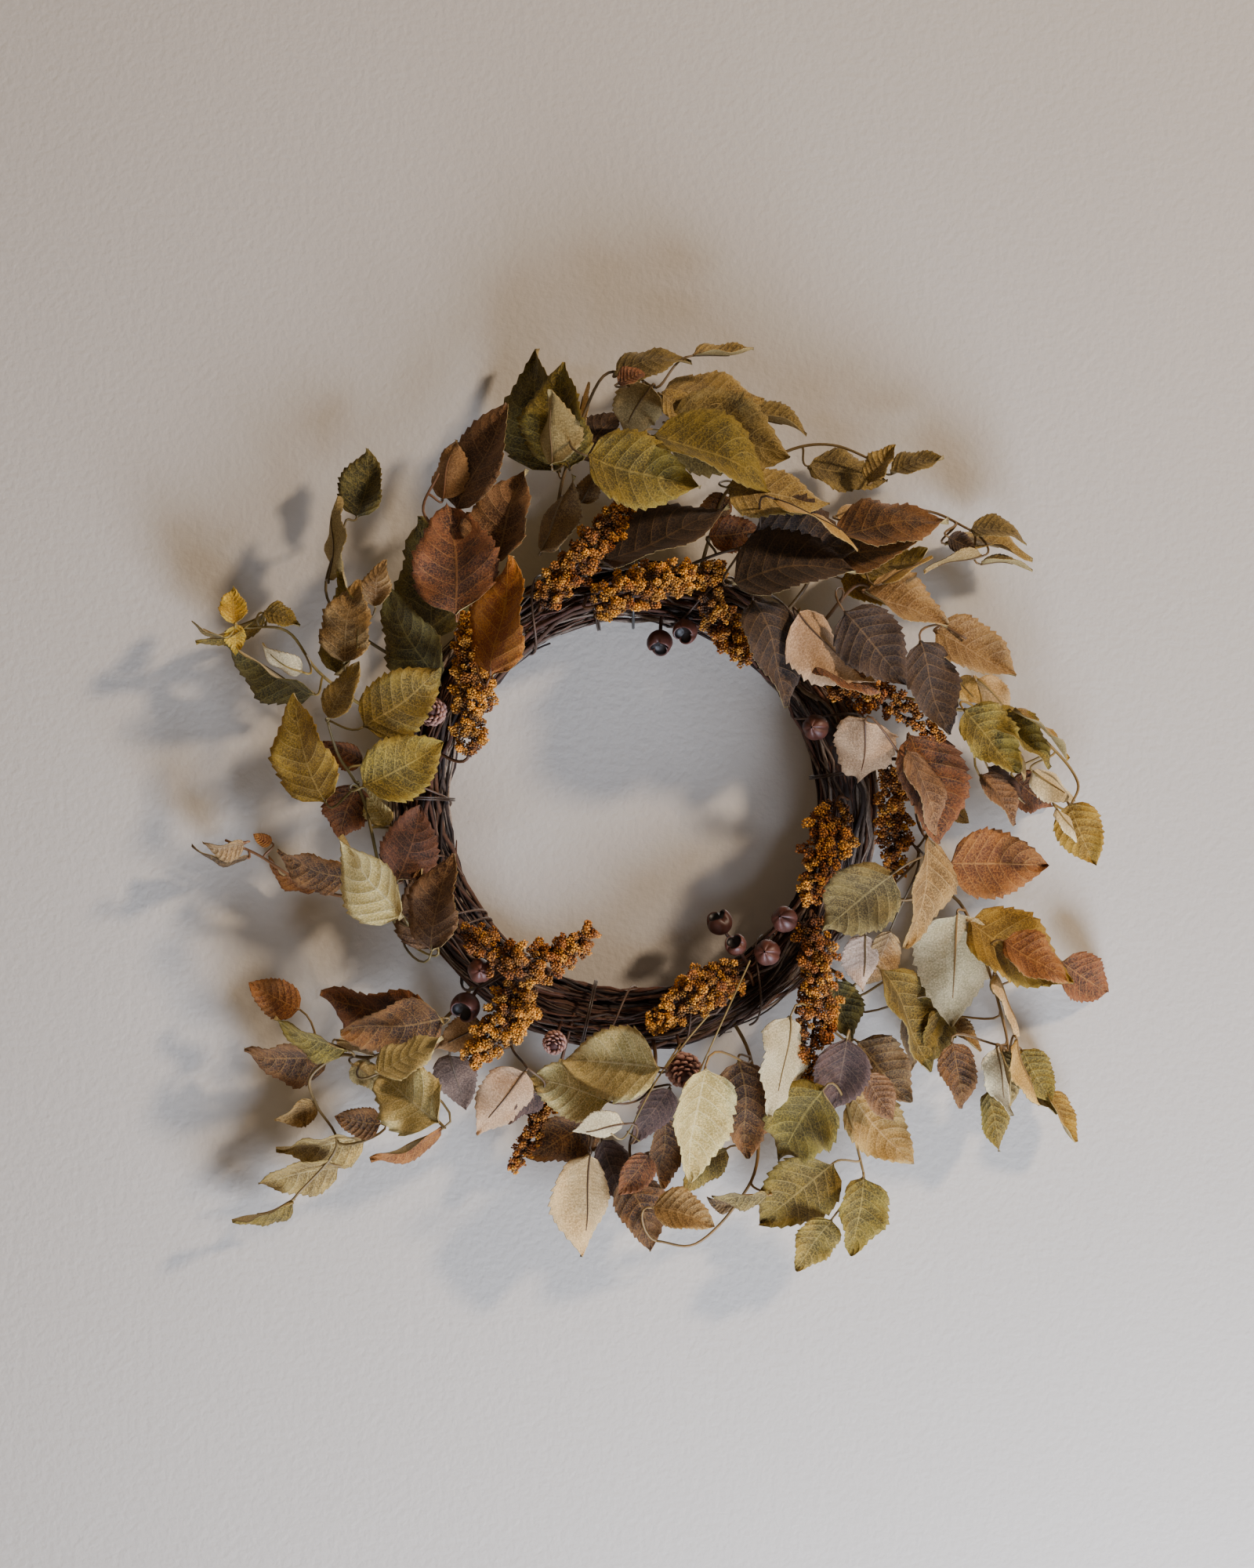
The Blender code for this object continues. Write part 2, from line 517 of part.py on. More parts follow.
def leaf_frame(row):
    """Size and tilted axes of a leaf: length, width, along, across and normal."""
    bx, bz, tx, tz, shown, _ = row
    heading = Vector((tx - bx, 0.0, tz - bz)) * MM
    span = heading.length
    heading.normalize()
    length = max(span, abs(shown) * MM * LEAF_ASPECT)
    width = length / LEAF_ASPECT
    lean = math.acos(min(1.0, span / length))
    roll = math.copysign(math.acos(min(1.0, abs(shown) * MM / width)), shown)
    along = heading * math.cos(lean) + Vector((0.0, math.sin(lean), 0.0))
    across = along.cross(Vector((0.0, 1.0, 0.0))).normalized()
    normal = across.cross(along).normalized()
    across = across * math.cos(roll) + normal * math.sin(roll)
    normal = across.cross(along).normalized()
    return length * LEAF_SCALE, width * LEAF_SCALE, along, across, normal


def blade_shell(row, base, grow=0.0):
    """A leaf blade with a flat front and a low rib along its back, or its room with clearance."""
    length, width, along, across, normal = leaf_frame(row)
    if normal.y < 0.0:
        normal = -normal
    verts, faces = [], []
    for share, half_share in BLADE_STATIONS:
        middle = base + along * (length * share + grow * (share - 0.5))
        half = across * (width * half_share + TIP_RADIUS + grow)
        if grow:
            verts += [middle - half - normal * grow, middle + half - normal * grow,
                      middle + half + normal * (RIB_HEIGHT + grow),
                      middle - half + normal * (RIB_HEIGHT + grow)]
        else:
            rib = RIB_HEIGHT * (1.0 - 0.6 * share)
            verts += [middle - half, middle + half, middle + normal * rib]
    sides = 4 if grow else 3
    for k in range(len(BLADE_STATIONS) - 1):
        start = k * sides
        for i in range(sides):
            n = (i + 1) % sides
            faces.append((start + i, start + sides + i, start + sides + n, start + n))
    faces.append(tuple(range(sides)))
    faces.append(tuple(range(len(verts) - 1, len(verts) - 1 - sides, -1)))
    return verts, faces


def leaf_shells(row, base, root):
    """One leaf: its blade, and its stalk from inside the stem to inside the blade."""
    length, _, along, _, normal = leaf_frame(row)
    if normal.y < 0.0:
        normal = -normal
    heel = base + along * (0.09 * length) + normal * (0.3 * RIB_HEIGHT)
    stalk = sweep([root, heel], [STALK_RADIUS] * 2, 3)
    return [outward(*stalk), outward(*blade_shell(row, base))]


def roots_on(path, base, turn):
    """Points on a stem where a leaf's stalk can start, from the nearest to the base outward."""
    share = 0.15 + 0.7 * (turn * 0.618 % 1.0)
    points = [path[i].lerp(path[i + 1], share) for i in range(2, len(path) - 1)]
    return sorted(points, key=lambda point: (point - base).length)


def stalk_room(root, base):
    """The room that a stalk takes, with clearance."""
    return sweep([root, base], [2.0 * STALK_RADIUS + GAP] * 2, 4)


def lay_stem(bench, name, clock, plan, end_depth):
    """Find room for a spray's stem and lay it; returns its path."""
    for offset in steps_about(36.0, 3.0):
        for inner, outer in root_choices(clock, 25.0):
            last = len(plan) - 1
            start_depth = -outer.y / MM
            marks = []
            for i, (x, z) in enumerate(plan):
                share = (i + 1) / (last + 1)
                depth = start_depth + (end_depth - start_depth) * share
                marks.append(plan_point(x, z, max(5.0, depth + offset)))
            path = [inner] + smooth_path([outer] + marks, 2)
            radii = [STEM_RADIUS] * len(path)
            if bench.is_free(name, *sweep(path, fatter(radii), 4)):
                shell = outward(*sweep(path, radii, 4))
                bench.lay(name, *shell, part="stem")
                return path, shell
    raise RuntimeError(f"no room for {name}")


def lay_leaf(bench, name, path, row, turn):
    """Lay one leaf at the free depth nearest to its layer; returns its shell."""
    nominal = LAYER_DEPTHS[row[5]]
    for offset in steps_about(110.0, DEPTH_STEP):
        base = plan_point(row[0], row[1], nominal + offset)
        blade = blade_shell(row, base, GAP)
        if max(v.y for v in blade[0]) > -WALL_CLEARANCE:
            continue
        if not bench.is_free(name, *blade):
            continue
        for root in roots_on(path, base, turn)[:8]:
            stalk = stalk_room(root, base)
            if bench.is_free(name, *stalk, own=("stem", "stalk", "blade")):
                bench.lay(name, *blade_shell(row, base), part="blade")
                bench.lay(name, *sweep([root, base], [STALK_RADIUS] * 2, 4), part="stalk")
                return leaf_shells(row, base, root)
    raise RuntimeError(f"no room for a leaf of {name}: {row}")


def make_sprays(bench, parent):
    """Stems first, then all leaves from the back layer to the front one."""
    stems = {}
    for name, clock, plan, end_depth, _ in SPRAYS:
        stems[name] = lay_stem(bench, name, clock, plan, end_depth)
    shells = {name: [] for name in stems}
    rows = [(row[5], name, row) for name, _, _, _, leaves in SPRAYS for row in leaves]
    for _, name, row in sorted(rows, key=lambda item: item[0]):
        shells[name] += lay_leaf(bench, name, stems[name][0], row, len(shells[name]))
    for name, (_, stem_shell) in stems.items():
        spray = add_object(name, *stem_shell, "leaf", parent, 0.7)
        unite(spray, shells[name])


def main():
    for obj in list(bpy.data.objects):
        bpy.data.objects.remove(obj)
    wreath = bpy.data.objects.new("wreath", None)
    bpy.context.collection.objects.link(wreath)
    eye_lean = math.radians(HANGER_LEAN)
    eye_height = RING_RADIUS + HANGER_REACH * math.cos(eye_lean)
    eye_depth = RING_DEPTH - HANGER_REACH * math.sin(eye_lean)
    nail_height = eye_height + HANGER_EYE_RADIUS - HANGER_WIRE_RADIUS
    wreath.location = (0.0, eye_depth, -nail_height)
    bench = Bench()
    make_hoop(bench, wreath)
    make_ties(bench, wreath)
    make_hanging_loop(bench, wreath)
    make_nuts(bench, wreath)
    make_sprigs(bench, wreath)
    make_sprays(bench, wreath)


main()
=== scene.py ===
"""Visual model of a harvest door wreath: cloth leaf sprays, seed sprigs, pods and cones on a
hoop of thin vine twigs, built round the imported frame. Lengths are metres unless a name says
mm; layout lists are in millimetres from the middle of the hoop, x to the right and z up."""
import json
import math
import random

import bpy
import numpy as np
from bpy.props import FloatProperty, FloatVectorProperty, IntProperty, PointerProperty
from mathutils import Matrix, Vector


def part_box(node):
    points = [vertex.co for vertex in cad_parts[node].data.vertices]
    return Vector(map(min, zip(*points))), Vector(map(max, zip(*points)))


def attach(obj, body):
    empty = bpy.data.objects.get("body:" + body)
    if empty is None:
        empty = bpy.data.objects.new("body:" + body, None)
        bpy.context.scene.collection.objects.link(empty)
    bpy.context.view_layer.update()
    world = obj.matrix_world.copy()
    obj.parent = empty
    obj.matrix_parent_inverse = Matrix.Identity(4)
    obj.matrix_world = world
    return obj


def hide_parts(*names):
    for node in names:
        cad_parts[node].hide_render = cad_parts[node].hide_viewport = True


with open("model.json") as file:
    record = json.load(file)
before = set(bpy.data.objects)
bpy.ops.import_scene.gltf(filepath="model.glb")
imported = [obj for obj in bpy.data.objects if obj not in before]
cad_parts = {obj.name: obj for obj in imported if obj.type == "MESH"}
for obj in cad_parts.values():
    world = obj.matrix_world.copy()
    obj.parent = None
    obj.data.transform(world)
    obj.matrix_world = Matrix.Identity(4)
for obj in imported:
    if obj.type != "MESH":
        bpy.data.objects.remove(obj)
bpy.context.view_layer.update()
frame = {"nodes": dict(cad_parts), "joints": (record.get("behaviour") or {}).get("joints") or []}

bl_info = {
    "name": "Harvest Door Wreath",
    "version": (1, 0, 0),
    "blender": (4, 5, 0),
    "location": "3D View > Sidebar > Wreath",
    "description": "Builds the leaves, seeds, pods, cones and twigs of a harvest door wreath",
    "category": "Object",
}

MM = 0.001
HOOP = (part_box("vine_core")[0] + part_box("vine_core")[1]) / 2
RING_RADIUS = 138.0 * MM
BUNDLE_RADIUS = 21.0 * MM
LEAF_ASPECT = 1.45
GOLDEN_ANGLE = 2.39996      # radians; spreads a cluster's beads and a cone's scales
FULL_TURN = 6.28            # radians, near enough for random turns and ripples

# Print colours of a leaf: field, margin and mottle, veins (sRGB hex)
PRINTED_TONES = {
    "moss": "383008 6A5A1A 98884A", "olive": "56450E 8D721F B79C56",
    "olive gold": "54460E 8E761E B8A050", "gold": "7B5A0F B28821 D1AC58",
    "yellow": "C29212 E2B832 EFD27A", "khaki": "7C6230 AE8E46 CDB47A",
    "khaki cream": "AC9652 D4BC76 EADAA6", "cream": "CCAC5A E6CC82 F2E2B0",
    "sand": "987432 C0984D DEBB83", "tan": "8A663A B69058 CEAE86", "fawn": "755524 AC8445 CEA96F",
    "amber": "86420A B46C18 CF9240", "copper": "6C380E 9E6020 C68E4A",
    "rust": "442A20 88522E B4804A", "russet": "44240E 84481A B27C40",
    "bronze": "54421A 8A7236 B29A5C", "walnut": "361E0C 7A4E20 A07840",
    "umber": "26170E 442E1C 80623E", "bark": "422C14 7A5A30 A08450",
    "maroon": "321C12 663A20 8C6040", "plum": "38241E 583C32 82664E",
    "mauve": "54361F 8C623A B28A5C",
}
BACK_TONES = {
    "taupe": "604626 8C6C3E AE905E", "sage": "937D46 B0985E C1AA73",
    "grey sage": "846F41 A48B56 B79E6C", "white": "D0BA8B E3CE9E EDD8AD",
    "white sage": "BDAA7A D4C092 E1CCA2", "pale gold": "B48A3A D0A554 E2B975",
    "pale khaki": "98783C B8985C CDAC7B", "pale cream": "BF985E D8B277 E9C692",
    "blush": "AC8660 C8A27A D8B898", "pink blush": "CEAA8C DCBEA4 E6D0BC",
    "pale tan": "8C6234 AE804C C49A6A", "mauve grey": "5C463A 806656 9C8270",
}
# What the far side of a leaf looks like
FAR_BACK, FAR_PRINT = BACK_TONES["sage"], PRINTED_TONES["bronze"]

# Sprays: name, stem points, stem colour, leaves.
# Leaf: base x, z, tip x, z, seen width, tone, whose table tells which side is seen.
SPRAYS = (
    ("spray_top_left", ((-48, 170), (-45, 209), (-22, 271), (-2, 275), (12, 267)), "5E4A2C", (
        (-48, 214, -62, 294, 42, "moss"), (-40, 215, -45, 283, 35, "olive gold"),
        (-52, 216, -50, 264, 25, "sage"), (-36, 235, -28, 272, 10, "pale cream"),
        (-12, 275, 36, 288, 22, "bronze"), (38, 288, 77, 290, 6, "khaki"),
        (-10, 268, 8, 276, 12, "rust"), (12, 267, -6, 237, 32, "grey sage"),
        (-35, 222, -9, 254, 26, "umber"), (-29, 221, 43, 203, 49, "olive gold"),
        (-59, 161, -35, 209, 20, "taupe"), (-34, 194, -24, 215, 16, "taupe"))),
    ("spray_top", ((2, 180), (8, 222), (40, 246), (72, 249)), "6A5630", (
        (18, 264, 84, 258, 22, "khaki"), (18, 262, 48, 244, 22, "khaki"),
        (21, 244, 100, 222, 55, "bronze"), (11, 234, 88, 201, 45, "olive gold"),
        (71, 249, 112, 241, 12, "bronze"))),
    ("spray_top_right", ((50, 175), (62, 204), (98, 227), (128, 231), (158, 219)), "6E5A34", (
        (59, 202, 124, 189, 32, "khaki"), (112, 218, 163, 207, 24, "bronze"),
        (150, 206, 168, 230, 16, "khaki"), (165, 214, 200, 221, 8, "bronze"),
        (62, 198, 34, 176, 20, "walnut"))),
    ("spray_top_inner", ((34, 152), (52, 160), (74, 166)), "4A3826", (
        (-20, 155, 62, 188, 38, "umber"), (48, 172, 82, 178, 24, "russet"),
        (62, 140, 140, 150, 46, "umber"), (75, 172, 142, 160, 40, "umber"),
        (88, 192, 143, 164, 9, "pale gold"))),
    ("spray_upper_right", ((110, 140), (124, 168), (160, 187), (190, 188), (216, 176)), "6A5230", (
        (126, 172, 200, 178, 30, "walnut"), (118, 158, 185, 170, 30, "walnut"),
        (130, 186, 168, 190, 10, "pale cream"), (143, 150, 190, 160, 18, "olive"),
        (158, 141, 190, 158, 6, "pale gold"), (134, 146, 180, 138, 22, "gold"),
        (215, 176, 252, 172, 15, "bronze"), (200, 168, 257, 160, 20, "khaki"),
        (222, 155, 255, 150, 6, "bronze"), (200, 171, 218, 163, 14, "umber"),
        (222, 160, 184, 153, 12, "pale khaki"))),
    ("spray_right_tan", ((122, 118), (145, 142), (166, 128), (190, 120), (213, 107)), "6A4E32", (
        (148, 137, 200, 113, 26, "tan"), (193, 112, 246, 85, 34, "tan"),
        (182, 105, 200, 45, 38, "umber"), (133, 123, 172, 76, 42, "umber"))),
    ("spray_right_inner", ((100, 98), (104, 112)), "4A3626", (
        (104, 124, 151, 76, 28, "blush"), (112, 90, 155, 70, 18, "rust"),
        (76, 130, 97, 62, 36, "umber"))),
    ("spray_right_gold", ((165, 70), (205, 62), (240, 60), (270, 36), (285, 15),
        (280, 0)), "8A6E34", (
        (207, 82, 222, 66, 16, "pale gold"), (222, 82, 244, 58, 22, "pale cream"),
        (210, 62, 244, 20, 34, "olive gold"), (224, 50, 254, 20, 14, "pale khaki"),
        (228, 60, 268, 26, 26, "olive gold"), (243, 62, 280, 32, 12, "gold"),
        (256, 22, 284, 3, 20, "white"), (278, 2, 296, -38, 30, "gold"),
        (268, -2, 283, -22, 12, "white"), (245, 18, 272, 0, 26, "russet"),
        (221, 20, 244, -12, 16, "mauve"), (228, 25, 250, 0, 12, "plum"))),
    ("spray_right_rust", ((168, 30), (176, 20), (183, -14), (200, -34)), "5E4026", (
        (175, 45, 195, -24, 42, "russet"), (172, 35, 192, -18, 16, "mauve"),
        (146, 54, 143, 12, 40, "blush"), (205, 0, 215, -10, 12, "pale khaki"),
        (202, -37, 267, -38, 45, "copper"))),
    ("spray_right_olive", ((172, -20), (180, -26)), "5E4A2A", (
        (187, -19, 171, -90, 36, "fawn"), (162, -42, 121, -78, 46, "bronze"),
        (148, -82, 144, -118, 22, "pink blush"), (165, -80, 150, -118, 16, "tan"))),
    ("spray_outer_right", ((170, -60), (205, -58), (225, -98), (238, -142),
        (240, -164)), "7A5C30", (
        (207, -68, 204, -142, 52, "white sage"), (214, -74, 283, -112, 50, "gold"),
        (236, -86, 278, -112, 28, "copper"), (275, -100, 308, -121, 32, "russet"),
        (230, -108, 246, -147, 7, "pale cream"), (243, -148, 258, -190, 12, "pale gold"),
        (250, -157, 270, -190, 26, "olive gold"), (242, -160, 272, -200, 24, "olive"),
        (266, -184, 281, -218, 8, "gold"), (232, -153, 238, -198, 22, "white"),
        (233, -155, 241, -190, 9, "khaki"), (228, -183, 233, -222, 22, "olive gold"),
        (203, -151, 212, -193, 26, "walnut"), (203, -140, 223, -160, 12, "fawn"))),
    ("spray_lower_right", ((140, -120), (136, -180), (142, -212), (147, -234)), "7A6236", (
        (135, -146, 128, -192, 36, "plum"), (143, -150, 176, -190, 34, "bark"),
        (140, -186, 180, -230, 40, "sand"), (148, -170, 165, -200, 20, "mauve"),
        (120, -178, 93, -228, 48, "olive gold"), (128, -228, 80, -270, 46, "olive"),
        (127, -264, 105, -298, 27, "olive"), (147, -237, 138, -287, 32, "olive gold"),
        (130, -112, 142, -150, 22, "moss"), (158, -105, 186, -172, 22, "olive"),
        (172, -115, 180, -172, 22, "bark"), (197, -130, 190, -168, 20, "olive"),
        (98, -132, 84, -195, 30, "white sage"))),
    ("spray_bottom_right", ((76, -165), (80, -225), (66, -256), (40, -281),
        (15, -279)), "7C5E30", (
        (46, -165, 35, -237, 42, "khaki cream"), (68, -162, 70, -225, 36, "walnut"),
        (60, -220, 30, -248, 18, "olive"), (86, -248, 50, -250, 16, "bronze"),
        (66, -256, 47, -254, 10, "bark"), (12, -256, 52, -269, 24, "fawn"))),
    ("spray_bottom", ((14, -165), (8, -190), (-2, -215), (0, -236)), "5A422A", (
        (-6, -238, 12, -286, 32, "walnut"), (10, -222, -10, -248, 22, "russet"),
        (24, -180, -2, -214, 26, "plum"), (22, -200, 15, -245, 18, "walnut"),
        (17, -165, -45, -162, 48, "khaki cream"), (-15, -188, -66, -174, 40, "khaki cream"),
        (-6, -200, -38, -207, 16, "white"))),
    ("spray_bottom_left", ((-26, -170), (-26, -205), (-28, -220)), "5A422A", (
        (-22, -205, -68, -228, 30, "walnut"), (-28, -222, -32, -288, 32, "pale cream"),
        (-20, -215, -5, -260, 28, "plum"))),
    ("spray_lower_left_inner", ((-78, -152), (-68, -166)), "5A4632", (
        (-68, -168, -100, -208, 34, "blush"), (-58, -182, -82, -200, 14, "plum"),
        (-96, -140, -125, -155, 24, "pale tan"), (-118, -160, -108, -195, 28, "mauve grey"))),
    ("spray_lower_left", ((-125, -140), (-165, -160), (-188, -160), (-207, -174), (-203, -192),
        (-190, -218), (-218, -252)), "7A6238", (
        (-125, -138, -200, -120, 30, "russet"), (-120, -136, -186, -142, 34, "walnut"),
        (-182, -156, -229, -136, 22, "olive gold"), (-213, -130, -246, -113, 26, "copper"),
        (-195, -160, -250, -160, 20, "walnut"), (-163, -168, -120, -146, 18, "khaki cream"),
        (-122, -200, -163, -170, 44, "khaki cream"), (-122, -205, -168, -226, 18, "copper"),
        (-161, -203, -191, -199, 20, "walnut"), (-172, -214, -230, -221, 28, "khaki"),
        (-189, -232, -241, -242, 20, "khaki"), (-218, -254, -258, -265, 13, "olive"),
        (-204, -190, -228, -206, 12, "fawn"), (-180, -165, -160, -182, 16, "sage"),
        (-190, -150, -165, -160, 8, "white"))),
    ("spray_left_twig", ((-172, -56), (-192, -57), (-218, -46), (-240, -32),
        (-262, -22)), "7A5230", (
        (-182, -46, -228, -30, 24, "walnut"), (-203, -53, -238, -38, 9, "copper"),
        (-247, -33, -284, -28, 5, "bark"), (-248, -23, -274, -28, 10, "tan"),
        (-232, -24, -244, -18, 9, "amber"))),
    ("spray_left", ((-140, -88), (-156, -66), (-172, 3), (-188, 32), (-195, 55)), "6A5A2E", (
        (-194, 55, -171, 90, 22, "khaki"), (-171, 50, -122, 88, 42, "olive"),
        (-171, 12, -120, 41, 42, "olive gold"), (-195, 2, -215, 72, 42, "gold"),
        (-173, 28, -199, 42, 16, "russet"), (-175, 15, -189, -21, 30, "russet"),
        (-146, -71, -184, -18, 23, "cream"), (-155, -12, -170, 12, 16, "khaki cream"),
        (-150, -48, -136, 1, 37, "maroon"), (-125, -91, -139, -41, 26, "mauve"),
        (-127, -91, -118, -29, 25, "mauve"))),
    ("spray_upper_left", ((-148, 92), (-178, 112), (-197, 138), (-184, 182)), "5E4E2C", (
        (-128, 105, -138, 186, 45, "moss"), (-124, 79, -156, 141, 40, "moss"),
        (-164, 126, -160, 157, 17, "tan"), (-188, 83, -182, 150, 31, "olive gold"),
        (-183, 90, -175, 144, 35, "fawn"), (-193, 144, -194, 198, 20, "sage"),
        (-177, 185, -169, 229, 25, "moss"))),
    ("spray_left_curl", ((-170, 62), (-202, 86), (-222, 112), (-252, 114)), "8A7438", (
        (-254, 116, -256, 139, 18, "yellow"), (-254, 116, -254, 98, 14, "yellow"),
        (-236, 124, -282, 108, 8, "olive"), (-236, 124, -213, 114, 10, "olive"),
        (-204, 72, -260, 105, 15, "moss"), (-210, 85, -238, 99, 10, "white"),
        (-262, 108, -282, 118, 5, "bronze"))),
    ("spray_copper", ((-104, 135), (-116, 166), (-134, 188), (-124, 212)), "6A4628", (
        (-112, 120, -119, 193, 55, "rust"), (-89, 152, -71, 215, 37, "mauve"),
        (-112, 188, -77, 255, 33, "mauve"), (-122, 195, -114, 234, 22, "pale tan"),
        (-89, 82, -73, 157, 36, "amber"))),
)
# Seed sprigs in their order: points along it, half thickness, share of gold seed
SPRIGS = (
    (((-58, 128), (-30, 160), (-2, 193)), 12, 0.35),
    (((-28, 126), (12, 140), (58, 150)), 13, 0.75),
    (((-106, 30), (-101, 75), (-104, 122)), 13, 0.8), (((46, 132), (58, 114), (72, 92)), 11, 0.6),
    (((126, 84), (136, 74), (160, 68), (196, 42)), 11, 0.15),
    (((130, 4), (124, -24), (112, -60)), 14, 0.4), (((164, 26), (166, -8), (168, -46)), 11, 0.2),
    (((113, -70), (116, -120), (110, -176)), 14, 0.25),
    (((70, -104), (46, -116), (10, -140)), 14, 0.7),
    (((-108, -78), (-80, -96), (-50, -97), (-26, -78)), 12, 0.2),
    (((-64, -112), (-80, -134), (-104, -162)), 15, 0.85),
    (((-50, -176), (-62, -205), (-78, -234)), 7, 0.2),
)
# Round pods in their order: place, radius, whether it has burst open
PODS = (
    ((17, 104), 8.5, True), ((33, 111), 8.0, True), ((55, -74), 8.5, True),
    ((96, -72), 8.5, False), ((85, -93), 8.5, False), ((65, -88), 7.0, True),
    ((-97, -104), 8.0, False), ((-107, -128), 9.5, True), ((116, 50), 8.5, False),
)
# Cones in their order: place, radius
CONES = (((32, -167), 11.0), ((-50, -150), 7.5), ((-128, 60), 9.0))
# Bare straw stems that cross the front at the bottom
STRAWS = (
    ((74, -98), (60, -128), (36, -180)), ((48, -132), (34, -148), (20, -166)),
    ((30, -150), (12, -178), (-2, -204), (-8, -210), (-14, -206)), ((-4, -206), (4, -212)),
)
# Where the ties and the tendrils lie round the hoop, in degrees
TIE_CLOCKS = (9.0, 101.0, 178.0, 258.0)
TENDRIL_CLOCKS = (-100, -62, -150, 20, 66, 112, 170, 205)


# ---------------------------------------------------------------- shared helpers
def linear(code):
    """An sRGB hex colour as linear light."""
    parts = [int(code[i:i + 2], 16) / 255.0 for i in (0, 2, 4)]
    return tuple(c / 12.92 if c <= 0.04045 else ((c + 0.055) / 1.055) ** 2.4 for c in parts)


def blended(first, second, share):
    """A colour between two, share of the way to the second."""
    return tuple(a + (b - a) * share for a, b in zip(first, second))


def unit(vector):
    return vector / max(np.linalg.norm(vector), 1e-12)


def node_points(name):
    """The vertices of a CAD node, as an array in metres."""
    mesh = frame["nodes"][name].data
    points = np.empty(len(mesh.vertices) * 3)
    mesh.vertices.foreach_get("co", points)
    return points.reshape(-1, 3)


def place(x, z, y):
    """A point of the layout, in metres, at a known y."""
    return np.array((HOOP.x + x * MM, y, HOOP.z + z * MM))


def depth_at(points, x, z, reach):
    """The middle of a CAD node's depth near a point of the layout."""
    gap = np.hypot(points[:, 0] - HOOP.x - x * MM, points[:, 2] - HOOP.z - z * MM)
    near = points[gap <= max(reach * MM, gap.min() * 1.001)][:, 1]
    return (near.min() + near.max()) / 2


def smooth_line(points, per_span):
    """Points of a smooth curve through the given ones."""
    points = [np.asarray(p, dtype=float) for p in points]
    ends = [2 * points[0] - points[1]] + points + [2 * points[-1] - points[-2]]
    line = []
    for i in range(1, len(ends) - 2):
        p0, p1, p2, p3 = ends[i - 1:i + 3]
        for k in range(per_span):
            t = k / per_span
            line.append(0.5 * (2 * p1 + (p2 - p0) * t + (2 * p0 - 5 * p1 + 4 * p2 - p3) * t * t
                               + (3 * p1 - p0 - 3 * p2 + p3) * t ** 3))
    line.append(points[-1])
    return np.array(line)


def toward(point, reach=RING_RADIUS):
    """The point at a distance from the hoop's middle, in its plane, on the way to another."""
    return np.array(HOOP) + unit(np.array((point[0] - HOOP.x, 0.0, point[2] - HOOP.z))) * reach


def bezier(p0, p1, p2, p3, count):
    t = np.linspace(0.0, 1.0, count)[:, None]
    return ((1 - t) ** 3 * p0 + 3 * (1 - t) ** 2 * t * p1
            + 3 * (1 - t) * t * t * p2 + t ** 3 * p3)


def circle(middle, radius, first, second, count):
    """Points of a circle in the plane of two unit directions."""
    turns = np.linspace(0.0, 2 * math.pi, count + 1)[:-1]
    return [middle + radius * (np.array(first) * math.cos(t) + np.array(second) * math.sin(t))
            for t in turns]


def band(low, high, sides):
    """Faces between two rings of points, each given by the number of its first point."""
    return [(low + k, low + (k + 1) % sides, high + (k + 1) % sides, high + k)
            for k in range(sides)]


def fan(tip, ring, sides, ends=True):
    """Faces that join a ring of points to a tip at the line's end, or else at its start."""
    faces = [(tip, ring + k, ring + (k + 1) % sides) for k in range(sides)]
    return faces if ends else [(tip, after, here) for tip, here, after in faces]


